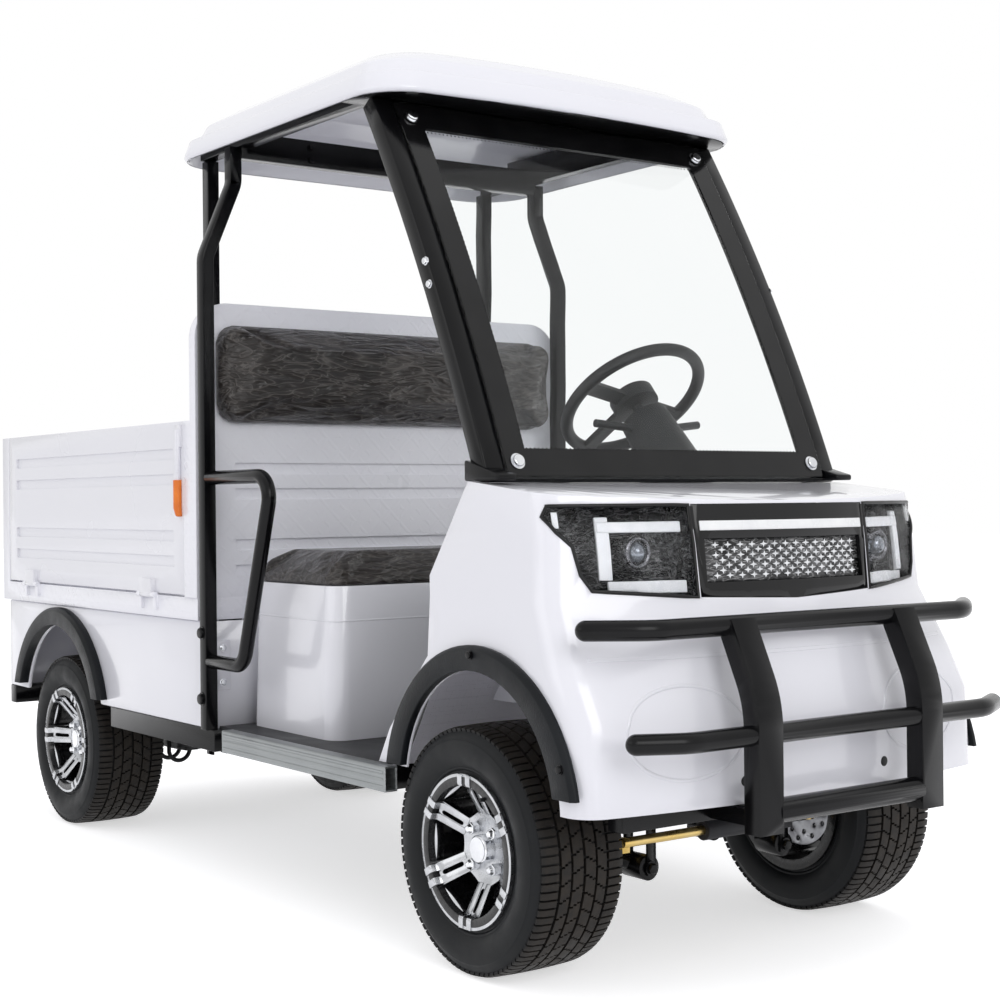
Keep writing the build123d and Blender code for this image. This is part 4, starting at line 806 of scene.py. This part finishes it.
for node, up in (("seat_cushion", 2), ("back_cushion", 0)):  # up: the axis that the cover swells along
    low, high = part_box(node)
    base = (Vector(low) + Vector(high)) / 2
    base[up] = low[up]
    size = Vector((cover_share, cover_share, cover_share))
    size[up] = cover_thin
    cover = merged_copy(node, node + "_cover")
    with editing(cover):
        bpy.ops.mesh.normals_make_consistent(inside=False)
        bpy.ops.transform.resize(value=size, center_override=base)
    modify(cover, "REMESH", mode="VOXEL", voxel_size=cover_voxel)
    start = [vertex.co.copy() for vertex in cover.data.vertices]
    held = cover.vertex_groups.new(name="held")
    flat = [vertex.index for vertex in cover.data.vertices if vertex.co[up] < low[up] + held_depth]
    held.add(flat, 1.0, "REPLACE")
    cloth = cover.modifiers.new("cloth", "CLOTH")
    cloth.settings.vertex_group_mass = "held"
    cloth.settings.use_pressure = True
    cloth.settings.uniform_pressure_force = swell_pressure
    cloth.settings.effector_weights.gravity = 0
    for step in range(1, swell_frames + 1):
        scene.frame_set(step)
    only(cover)
    bpy.ops.object.modifier_apply(modifier="cloth")
    scene.frame_set(1)
    for vertex, place in zip(cover.data.vertices, start):
        moved = vertex.co - place
        if moved.length > swell_limit:
            vertex.co = place + moved * (swell_limit / moved.length)
        for axis in (0, 2):
            sink = 0 if axis == up else cover_sink
            vertex.co[axis] = min(max(vertex.co[axis], low[axis] - sink), high[axis] + cover_cap)
    modify(cover, "SUBSURF", levels=1, render_levels=1)
    settle(cover, node + "_cover", leather, cover_angle)
    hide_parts(node)

# Front cowl
# A one-piece gloss white moulding with wheel arches and openings for the lamps and the grille panel.
# It is bolted over the toe board; two holes in the apron give access to the tow points.
liner_centre = Vector((0.965, 0, 0.325))
liner_across = 0.300
liner_radius = 0.285
liner_foot = 0.475
liner_thick = 0.003
soften(white_gloss, 0.005, "front_cowl")
for side, hand in both_sides:
    liner = begin(
        bpy.ops.mesh.primitive_circle_add,
        liner_centre + Vector((0, side * liner_across, 0)),
        vertices=96,
        radius=liner_radius,
        fill_type="NGON",
        rotation=(math.pi / 2, 0, 0),
    )
    bpy.ops.object.transform_apply(location=True, rotation=True)
    with editing(liner):
        bpy.ops.mesh.bisect(plane_co=(0, 0, liner_foot), plane_no=(0, 0, -1), clear_outer=True)
        bpy.ops.mesh.select_all(action="SELECT")
        pull(0, -side * liner_thick, 0)
        face_outward()
    settle(liner, "arch_liner_" + hand, white_gloss)
# The apron holes are not cut: a dark disc stands on the skin at each, painted shade for the dark inside of the
# hole.
hole_shade_finish = finish(
    "painted_hole_shade", (0.006, 0.006, 0.007), (0.012, 0.012, 0.013),
    rough=(0.6, 0.8), patch=30.0, grain=300.0, depth=0.0001)
hole_shade_disc = standing(28, 0.0095, 0.004, foot=-0.002)
with editing(hole_shade_disc, faces_up):
    bpy.ops.mesh.bevel(offset=0.0008, segments=2)
apron_hole_shade_discs = on_both_sides(((1.3112, 0.180, 0.375), (1, 0.08, 0)))
repeat(hole_shade_disc, "apron_hole_shade_discs", apron_hole_shade_discs, hole_shade_finish)

# Headlamps
# Clear wrap-round lenses over black bowls with white light guides and a round projector in a smoked ring.
# Each bowl is pressed into the cowl opening, and the lens is welded to its rim with a black gasket round it.
lens_depth = 0.0025
bowl_depth = 0.002
lens_facing = 0.25
skin_gap = 0.002
backward = Vector((-1, 0, 0))
ray_start = 2.0
nose_middle = 1.2
edge_slope = 0.2


def skin_of(node):
    """Returns a CAD node's surface for casting rays onto it."""
    return BVHTree.FromObject(nodes[node], bpy.context.evaluated_depsgraph_get())


def skin_x(skin, across, height):
    """Returns how far forward a skin lies at a place across and up the nose."""
    hit = skin.ray_cast(Vector((ray_start, across, height)), backward)[0]
    return hit.x if hit else skin.find_nearest(Vector((nose_middle, across, height)))[0].x


def on_lens(centre, normal):
    """Tells whether a face lies on the outside of the nose skin."""
    return normal.x >= lens_facing and abs(skin_x(lamp_skin, centre.y, centre.z) - centre.x) < skin_gap


def as_tube(piece, radius, resolution):
    """Turns a piece's edges into round bar."""
    only(piece)
    bpy.ops.object.convert(target="CURVE")
    piece.data.bevel_depth = radius
    piece.data.bevel_resolution = resolution
    bpy.ops.object.convert(target="MESH")


lamp_skin = skin_of("headlamps")
lamp_bowl = merged_copy("headlamps", "headlamp_bowls")
lamp_lens = merged_copy("headlamps", "headlamp_lenses")
with editing(lamp_bowl, on_lens):
    bpy.ops.mesh.delete(type="FACE")
modify(lamp_bowl, "SOLIDIFY", thickness=bowl_depth, offset=-1.0)
with editing(lamp_lens, lambda centre, normal: not on_lens(centre, normal)):
    bpy.ops.mesh.delete(type="FACE")
lamp_frame = twin_of(lamp_lens, "headlamp_frames")
with editing(lamp_frame):
    bpy.ops.mesh.region_to_loop()
    bpy.ops.mesh.select_all(action="INVERT")
    bpy.ops.mesh.delete(type="EDGE")
    bpy.ops.mesh.select_all(action="SELECT")
    bpy.ops.mesh.delete(type="ONLY_FACE")
as_tube(lamp_frame, radius=0.0036, resolution=3)
modify(lamp_lens, "SOLIDIFY", thickness=lens_depth, offset=-1.0)


def clear_finish(name, tone, shade, rough, ior, coat, **folds):
    """Makes a clear material whose tint and gloss change a little; returns it with that change."""
    material = bpy.data.materials.new(name)
    material.use_nodes = True
    tree = material.node_tree
    change = add_node(tree, "TexNoise", Vector=place_of(tree), **folds).outputs["Fac"]
    gloss = add_node(tree, "MapRange", Value=change, To_Min=rough[0], To_Max=rough[1])
    feed(
        tree,
        tree.nodes["Principled BSDF"],
        Transmission_Weight=1.0,
        IOR=ior,
        Coat_Weight=coat,
        Base_Color=blend(tree, change, tone, shade),
        Roughness=gloss.outputs["Result"],
    )
    return material, change


lens_clear, lens_folds = clear_finish(
    "lamp_lens_clear", (0.97, 0.97, 0.98), (0.90, 0.91, 0.93),
    rough=(0.01, 0.07), ior=1.03, coat=0.3, Scale=26.0, Detail=6.0, Distortion=2.0)
tree = lens_clear.node_tree
lens_bump = add_node(tree, "Bump", Height=lens_folds, Distance=0.008)
feed(tree, tree.nodes["Principled BSDF"], Coat_Roughness=0.05, Coat_Normal=lens_bump.outputs["Normal"])
bowl_black = finish(
    "lamp_bowl", (0.004, 0.004, 0.0045), (0.022, 0.0225, 0.024),
    rough=(0.10, 0.24), patch=38.0, grain=900.0, depth=0.0002, specular=0.25)
# Pale lines in the bowl's colour, seen through the lens, are painted highlights of creased film on the lens.
film_with_painted_highlights(bowl_black, scale=34.0, tone=(0.70, 0.71, 0.73), share=0.30, depth=0.004)
guide_white = finish(
    "light_guide", (0.86, 0.87, 0.88), (0.78, 0.79, 0.81),
    rough=(0.2, 0.32), patch=25.0, grain=500.0, depth=0.0001)
lamp_rubber = finish(
    "lamp_gasket", (0.004, 0.004, 0.0045), (0.008, 0.008, 0.009),
    rough=(0.25, 0.4), patch=20.0, grain=500.0, depth=0.0001, specular=0.3)
settle(lamp_bowl, "headlamp_bowls", bowl_black)
settle(lamp_frame, "headlamp_frames", lamp_rubber, 60)
settle(lamp_lens, "headlamp_lenses", lens_clear, 60)
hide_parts("headlamps")
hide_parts("headlamps")


def face_forward(piece):
    """Turns the faces of an open sheet the same way, to the front."""
    with editing(piece):
        face_outward()
    if sum(polygon.normal.x for polygon in piece.data.polygons) < 0:
        piece.data.flip_normals()


def skin_strip(skin, across, height, back, thick, parts=14, edge=9.0):
    """Models a bar that follows a skin at a distance behind it; past the skin's edge it runs straight on."""
    bar = begin(bpy.ops.mesh.primitive_grid_add, x_subdivisions=parts, y_subdivisions=4, size=1)
    for vertex in bar.data.vertices:
        y = across[0] + (across[1] - across[0]) * (vertex.co.x + 0.5)
        z = height[0] + (height[1] - height[0]) * (vertex.co.y + 0.5)
        past = max(0, abs(y) - edge)
        vertex.co = (skin_x(skin, math.copysign(abs(y) - past, y), z) - back - edge_slope * past, y, z)
    face_forward(bar)
    modify(bar, "SOLIDIFY", thickness=thick, offset=-1.0)
    modify(bar, "BEVEL", width=min(0.003, 0.3 * thick), segments=3, limit_method="ANGLE", angle_limit=0.7)
    return bar


lamp_guides = [  # from the middle outwards, low and high, distance behind the lens, thickness
    ((0.239, 0.392), (0.8130, 0.8320), 0.010, 0.008),
    ((0.370, 0.393), (0.7300, 0.8400), 0.012, 0.008),
    ((0.236, 0.380), (0.7060, 0.7280), 0.010, 0.008),
    ((0.455, 0.464), (0.8220, 0.8500), 0.006, 0.004),
]
guides = []
for side in (-1, 1):
    for across, height, back, thick in lamp_guides:
        guides.append(skin_strip(lamp_skin, [side * y for y in across], height, back, thick))
settle(joined(guides), "headlamp_guides", guide_white)

projector_y = 0.3124
projector_z = 0.777
projector_back = 0.034
ring_ahead = 0.006
ball = begin(bpy.ops.mesh.primitive_uv_sphere_add, segments=32, ring_count=16, radius=0.020)
with editing(ball):
    bpy.ops.mesh.bisect(plane_co=(0, 0, 0.004), plane_no=(0, 0, -1), use_fill=True, clear_outer=True)
bezel = begin(
    bpy.ops.mesh.primitive_torus_add,
    major_segments=40, minor_segments=10, major_radius=0.025, minor_radius=0.0048)
holder = standing(32, 0.032, 0.020, foot=-0.020)
with editing(holder, faces_up):
    bpy.ops.mesh.inset(thickness=0.006)
    pull(0, 0, -0.006)
smoked_chrome = finish(
    "smoked_chrome", (0.10, 0.10, 0.11), (0.22, 0.22, 0.23),
    rough=(0.10, 0.2), patch=30.0, grain=500.0, depth=0.00002, metallic=1.0)
eye_glass = finish(
    "projector_glass", (0.30, 0.33, 0.37), (0.10, 0.11, 0.13),
    rough=(0.03, 0.08), patch=60.0, grain=300.0, depth=0.00001, metallic=0.6, coat=1.0)
projectors = []
rings = []
for side in (-1, 1):
    eye_x = skin_x(lamp_skin, side * projector_y, projector_z) - projector_back
    projectors.append(((eye_x, side * projector_y, projector_z), (1, 0, 0)))
    rings.append(((eye_x + ring_ahead, side * projector_y, projector_z), (1, 0, 0)))
repeat(ball, "projector_lenses", projectors, eye_glass)
repeat(bezel, "projector_bezels", rings, smoked_chrome)
repeat(holder, "projector_holders", rings, bowl_black)
for model in (ball, bezel, holder, hole_shade_disc):
    bpy.data.objects.remove(model)

# Apron relief
# The lower front of the cowl is stiffened by a pressed line under the guard tube and an oval bead at each side.
# Both are part of the white moulding and stand up from it by about two millimetres.
oval_centre = (0.300, 0.467)
oval_half = (0.122, 0.080)
bead_radius = 0.0042
bead_sink = 0.0022
cowl_skin = skin_of("front_cowl")
press_line = skin_strip(cowl_skin, (-0.455, 0.455), (0.5935, 0.6005), back=-0.0016, thick=0.004, parts=60)
settle(press_line, "apron_line", white_gloss, 60)
beads = []
for side in (-1, 1):
    bead = begin(bpy.ops.mesh.primitive_circle_add, vertices=120, radius=1)
    for vertex in bead.data.vertices:
        y = side * (oval_centre[0] + oval_half[0] * vertex.co.x)
        z = oval_centre[1] + oval_half[1] * vertex.co.y
        vertex.co = (skin_x(cowl_skin, y, z) - bead_sink, y, z)
    as_tube(bead, bead_radius, resolution=4)
    beads.append(bead)
settle(joined(beads), "apron_beads", white_gloss, 80)

# Grille
# A gloss black panel between the lamps with a white strip across it and a bright studded insert in its pocket.
# The studs are four-pointed stars in staggered rows, moulded with the insert.
star_long = 0.0120
star_short = 0.0078
star_waist = 0.0034
star_height = 0.003
star_rows = 7
star_columns = 14
star_pitch = 0.0270
row_pitch = 0.0092
star_middle = 0.761
star_sink = 0.0004
gloss_black = finish(
    "gloss_black", (0.003, 0.003, 0.0035), (0.006, 0.006, 0.007),
    rough=(0.06, 0.12), patch=5.0, grain=300.0, depth=0.00003, specular=0.35)
soften(gloss_black, 0.0025, "grille_panel")
insert_film = finish(
    "grille_insert", (0.006, 0.006, 0.0065), (0.07, 0.07, 0.072),
    rough=(0.12, 0.34), patch=22.0, grain=120.0, depth=0.0012, metallic=0.2, specular=0.3)
# Pale lines in the insert's colour are painted highlights of creased film on the insert.
film_with_painted_highlights(insert_film, scale=30.0, tone=(0.55, 0.55, 0.56), share=0.6, depth=0.003)
soften(insert_film, 0.001, "grille_insert")
panel_skin = skin_of("grille_panel")
insert_skin = skin_of("grille_insert")
strip = skin_strip(panel_skin, (-0.2095, 0.2095), (0.8150, 0.8325), back=-0.0022, thick=0.004, parts=40)
settle(strip, "grille_strip", guide_white)
for side, hand in both_sides:
    web_across = (side * 0.2185, side * 0.2310)
    web = skin_strip(panel_skin, web_across, (0.6990, 0.8590), back=-0.0016, thick=0.003, parts=4, edge=0.2195)
    settle(web, "grille_edge_" + hand, gloss_black)
star = begin(bpy.ops.mesh.primitive_circle_add, vertices=8, radius=0.0085, fill_type="NGON")
for index, vertex in enumerate(star.data.vertices):
    reach = star_waist if index % 2 else (star_long, star_short)[index // 2 % 2]
    vertex.co = vertex.co.normalized() * reach
with editing(star):
    pull(0, 0, star_height)
    bpy.ops.transform.resize(value=(0.8, 0.8, 1))
star_places = []
for row in range(star_rows):
    count = star_columns - row % 2
    for column in range(count):
        y = (column - (count - 1) / 2) * star_pitch
        z = star_middle + (row - star_rows // 2) * row_pitch
        star_places.append(((skin_x(insert_skin, y, z) - star_sink, y, z), (1, 0, 0)))
stud_silver = finish(
    "stud_silver", (0.74, 0.75, 0.77), (0.55, 0.56, 0.58),
    rough=(0.14, 0.28), patch=40.0, grain=500.0, depth=0.00003, metallic=0.9)
repeat(star, "grille_studs", star_places, stud_silver)
bpy.data.objects.remove(star)

# Dashboard
# A black moulded shelf under the windscreen with a soft grain.
# It is clipped to the toe board.
soften(grained, 0.006, "dashboard")

# Bumper
# A bent tube guard with a deep front plate under black powder coat, bolted to the frame rails.
# The tube ends are closed by round caps.
soften(black_coat, 0.003, "bumper")

# Windscreen
# One curved pane of clear laminated glass with a black printed border that ends in rows of dots.
# It is bonded to the pillars and held by a chrome bolt near each corner.
frit_side = 0.045
frit_foot = 0.047
frit_head = 0.056
frit_half = 0.417
frit_low = 0.917
frit_high = 1.682
frit_columns = 48
frit_rows = 44
frit_proud = 0.0006
frit_depth = 0.0068
corner_across = 0.330
corner_up = 0.305
corner_middle = 1.300
corner_radius = 0.052
dot_radius = 0.0022
dot_rows = 64
dot_columns = 76
dot_half = 0.360
dot_end = 0.010
dot_side_gap = 0.006
dot_edge_gap = 0.005
glass, _ = clear_finish(
    "screen_glass", (0.95, 0.965, 0.965), (0.92, 0.945, 0.945),
    rough=(0.0, 0.02), ior=1.01, coat=0.35, Scale=3.0)
soften(glass, 0.001, "windscreen")
soften(black_coat, 0.0025, "front_pillars")
frit_black = finish(
    "screen_border", (0.003, 0.003, 0.0035), (0.006, 0.006, 0.0065),
    rough=(0.08, 0.14), patch=12.0, grain=300.0, depth=0.00001, specular=0.3)
screen_skin = skin_of("windscreen")


def on_screen(across, height):
    """Returns a place just off the outer screen face and its normal, or nothing past the pane."""
    place, normal, _, _ = screen_skin.ray_cast(Vector((ray_start, across, height)), backward)
    return (place + frit_proud * normal, normal) if place else (None, None)


def is_clear(centre, normal):
    """Tells whether a cell of the flat border grid belongs to the clear middle of the pane."""
    in_corner = math.hypot(
        max(0, abs(centre.y) - corner_across), max(0, abs(centre.z - corner_middle) - corner_up))
    between = frit_low + frit_foot <= centre.z <= frit_high - frit_head
    return abs(centre.y) <= frit_half - frit_side and between and in_corner <= corner_radius


border = begin(
    bpy.ops.mesh.primitive_grid_add, x_subdivisions=frit_columns, y_subdivisions=frit_rows, size=1)
for vertex in border.data.vertices:
    rise = frit_low + (frit_high - frit_low) * (vertex.co.y + 0.5)
    vertex.co = (0.75, 2 * frit_half * vertex.co.x, rise)
with editing(border, is_clear):
    bpy.ops.mesh.delete(type="FACE")
for vertex in border.data.vertices:
    place, _ = on_screen(vertex.co.y, vertex.co.z)
    if place:
        vertex.co = place
face_forward(border)
modify(border, "SOLIDIFY", thickness=frit_depth, offset=-1.0)
settle(border, "screen_border", frit_black, 60)

dot = begin(bpy.ops.mesh.primitive_circle_add, vertices=10, radius=dot_radius, fill_type="NGON")
dot_places = []
for index in range(dot_rows):
    clear_height = frit_high - frit_low - frit_foot - frit_head
    z = frit_low + frit_foot + dot_end + (clear_height - 2 * dot_end) * index / (dot_rows - 1)
    for side in (-1, 1):
        dot_places.append((side * (frit_half - frit_side - dot_side_gap), z))
for index in range(dot_columns):
    y = -dot_half + 2 * dot_half * index / (dot_columns - 1)
    for z in (frit_low + frit_foot + dot_edge_gap, frit_high - frit_head - dot_edge_gap):
        dot_places.append((y, z))
dot_frames = [on_screen(y, z) for y, z in dot_places]
dot_frames = [(place, normal) for place, normal in dot_frames if place]
repeat(dot, "screen_border_dots", dot_frames, frit_black)
bpy.data.objects.remove(dot)

round_bolt = bolt_model(across=0.022, height=0.007, corners=24)
screen_bolts = on_both_sides(
    ((0.5800, 0.388, 1.6530), (0.85, 0, 0.52)),
    ((0.9315, 0.390, 0.9445), (0.93, 0, 0.37)),
)
repeat(round_bolt, "screen_bolts", screen_bolts, chrome)

foot_ends = (0.8700, 0.9760)
foot_sides = (0.4240, 0.4690)
foot_base = 0.9085
foot_tops = (0.9480, 0.9200)
pillar_foot = begin(bpy.ops.mesh.primitive_cube_add, size=1)
for vertex in pillar_foot.data.vertices:
    end = int(vertex.co.x > 0)
    top = foot_tops[end] if vertex.co.z > 0 else foot_base
    vertex.co = (foot_ends[end], foot_sides[int(vertex.co.y > 0)], top)
modify(pillar_foot, "BEVEL", width=0.004, segments=3)
mirrored = twin_of(pillar_foot, "foot", Matrix.Diagonal((1, -1, 1, 1)))
mirrored.data.flip_normals()
settle(joined([pillar_foot, mirrored]), "pillar_feet", black_coat)
small_bolt = bolt_model(across=0.012, height=0.005, corners=24)
pillar_bolts = on_both_sides(
    ((0.7388, 0.4615, 1.3355), (0, 1, 0)),
    ((0.7520, 0.4615, 1.2897), (0, 1, 0)),
)
repeat(small_bolt, "pillar_bolts", pillar_bolts, chrome)

# Roof
# A moulded white two-level roof with a rolled skirt, open underneath, on a black tube frame.
# Through bolts in the rear cross beam hold it.
soften(white_gloss, 0.004, "roof_shell")
soften(black_coat, 0.0025, "roof_frame")
beam_skin = skin_of("roof_frame")
beam_bolts = []
for y in (-0.244, 0.244):
    for z in (1.690, 1.720):
        hit = beam_skin.ray_cast(Vector((0.3, y, z)), backward)[0]
        if hit:
            beam_bolts.append((hit, (1, 0, 0)))
repeat(small_bolt, "beam_bolts", beam_bolts, black_coat)

# Posts and handles
# Bent tube posts and grab handles under black powder coat.
# They are bolted through plates to the rear wall and the seat box.
soften(black_coat, 0.002, "rear_posts", "grab_handles")
post_bolts = on_both_sides(
    ((-0.098, 0.5325, 0.573), (0, 1, 0)),
    ((-0.100, 0.5325, 0.421), (0, 1, 0)),
)
repeat(round_bolt, "post_bolts", post_bolts, black_coat)

# Wheel flares
# Soft black mouldings with a coarse grain round the wheel openings.
# Each is held by small round-headed screws.
flare_black = finish(
    "flare_moulding", (0.0045, 0.0055, 0.0070), (0.009, 0.0105, 0.013),
    rough=(0.32, 0.46), patch=6.0, grain=480.0, depth=0.0006, specular=0.18)
soften(flare_black, 0.003, "wheel_flares")
flare_skin = skin_of("wheel_flares")
flare_screws = []
for x, z in ((0.966, 0.594), (1.226, 0.4185), (0.690, 0.470)):
    for side in (-1, 1):
        hit = flare_skin.ray_cast(Vector((x, side, z)), Vector((0, -side, 0)))[0]
        if hit:
            flare_screws.append((hit, (0, side, 0)))
repeat(small_bolt, "flare_screws", flare_screws, black_coat)

# Rear body
# White moulded side panels and rear walls under the bed, with red ribbed tail lamps in pockets.
# A small plate with two bolts closes each side of the wall behind the seat.
plate_x = -0.1088
plate_across = 0.476
plate_z = 0.495
plate_size = (0.003, 0.040, 0.116)
plate_face = -0.1074
plate_bolt_heights = (0.455, 0.535)
lamp_rib_pitch = 900.0
soften(white_gloss, 0.004, "rear_side_panels", "rear_walls")
for side, hand in both_sides:
    plate = block((plate_x, side * plate_across, plate_z), plate_size)
    modify(plate, "BEVEL", width=0.0012, segments=2)
    settle(plate, "wall_plate_" + hand, white_gloss)
plate_bolts = [((plate_face, plate_across, z), (1, 0, 0)) for z in plate_bolt_heights]
repeat(small_bolt, "wall_plate_bolts", on_both_sides(*plate_bolts), chrome)
lamp_red = finish(
    "tail_lamp_red", (0.42, 0.006, 0.008), (0.55, 0.012, 0.012),
    rough=(0.08, 0.16), patch=30.0, grain=300.0, depth=0.0012, coat=1.0)
tree = lamp_red.node_tree
rib_wave = measure(tree, "SINE", measure(tree, "MULTIPLY", parts_of(tree)["Z"], lamp_rib_pitch))
feed(tree, tree.nodes["grain"], Height=rib_wave)
soften(lamp_red, 0.002, "tail_lamps")

# Cargo bed
# A welded steel bed with pressed drop sides, a headboard and a tailgate in white enamel.
# The gates turn on bottom hinges and close with spring levers that have orange grips.
emboss_pitch = 150.0
emboss_floor = 0.55
emboss_checks = 34.0
grip_radius = 0.0105
grip_length = 0.066
grip_place = (-0.213, 0.536, 0.894)
white_enamel = finish(
    "white_enamel", (0.79, 0.79, 0.84), (0.775, 0.775, 0.827),
    rough=(0.25, 0.29), patch=2.0, grain=350.0, depth=0.00006, coat=0.4)
bed_coat = finish(
    "bed_tread_plate", (0.865, 0.865, 0.925), (0.85, 0.85, 0.912),
    rough=(0.27, 0.31), patch=3.0, grain=500.0, depth=0.0010, coat=0.3)
tree = bed_coat.node_tree
x, y, z = parts_of(tree)
bed_sum = measure(tree, "ADD", x, z)
checks = add_node(tree, "TexChecker", Vector=place_of(tree), Scale=emboss_checks).outputs["Fac"]
bed_bars = []
for operation, mask in (("ADD", checks), ("SUBTRACT", measure(tree, "SUBTRACT", 1.0, checks))):
    slant = measure(tree, "MULTIPLY", measure(tree, operation, bed_sum, y), emboss_pitch)
    wave = measure(tree, "MAXIMUM", measure(tree, "SINE", slant), emboss_floor)
    bed_bars.append(measure(tree, "MULTIPLY", wave, mask))
feed(tree, tree.nodes["grain"], Height=measure(tree, "ADD", *bed_bars))
soften(bed_coat, 0.002, "bed_floor", "headboard")
soften(white_enamel, 0.002, "side_gate_right", "side_gate_left", "tailgate")
grip_orange = finish(
    "orange_grip", (0.85, 0.22, 0.015), (0.72, 0.16, 0.01),
    rough=(0.34, 0.46), patch=25.0, grain=500.0, depth=0.0002)
for side, hand in both_sides:
    gate = "side_gate_" + hand
    grip = begin(
        bpy.ops.mesh.primitive_cylinder_add,
        (grip_place[0], side * grip_place[1], grip_place[2]),
        vertices=28,
        radius=grip_radius,
        depth=grip_length,
    )
    with editing(grip, lambda centre, normal: normal.z < -0.9):
        pull(0.006, 0, -0.020)
        bpy.ops.transform.resize(value=(0.72, 0.72, 1))
        bpy.ops.mesh.bevel(offset=0.004, segments=4)
    settle(grip, gate + "_grip", grip_orange, body=gate)

# Steering column and wheel
# A moulded shroud with two stalks, clamped under the dashboard.
# The wheel has a soft dark rim on three spokes.
soften(grained, 0.002, "steering_column")
rim_soft = finish(
    "wheel_rim", (0.012, 0.0125, 0.0135), (0.022, 0.0225, 0.024),
    rough=(0.46, 0.6), patch=12.0, grain=600.0, depth=0.0003, specular=0.35)
soften(rim_soft, 0.003, "steering_wheel")
for model in (hex_bolt, round_bolt, small_bolt):
    bpy.data.objects.remove(model)
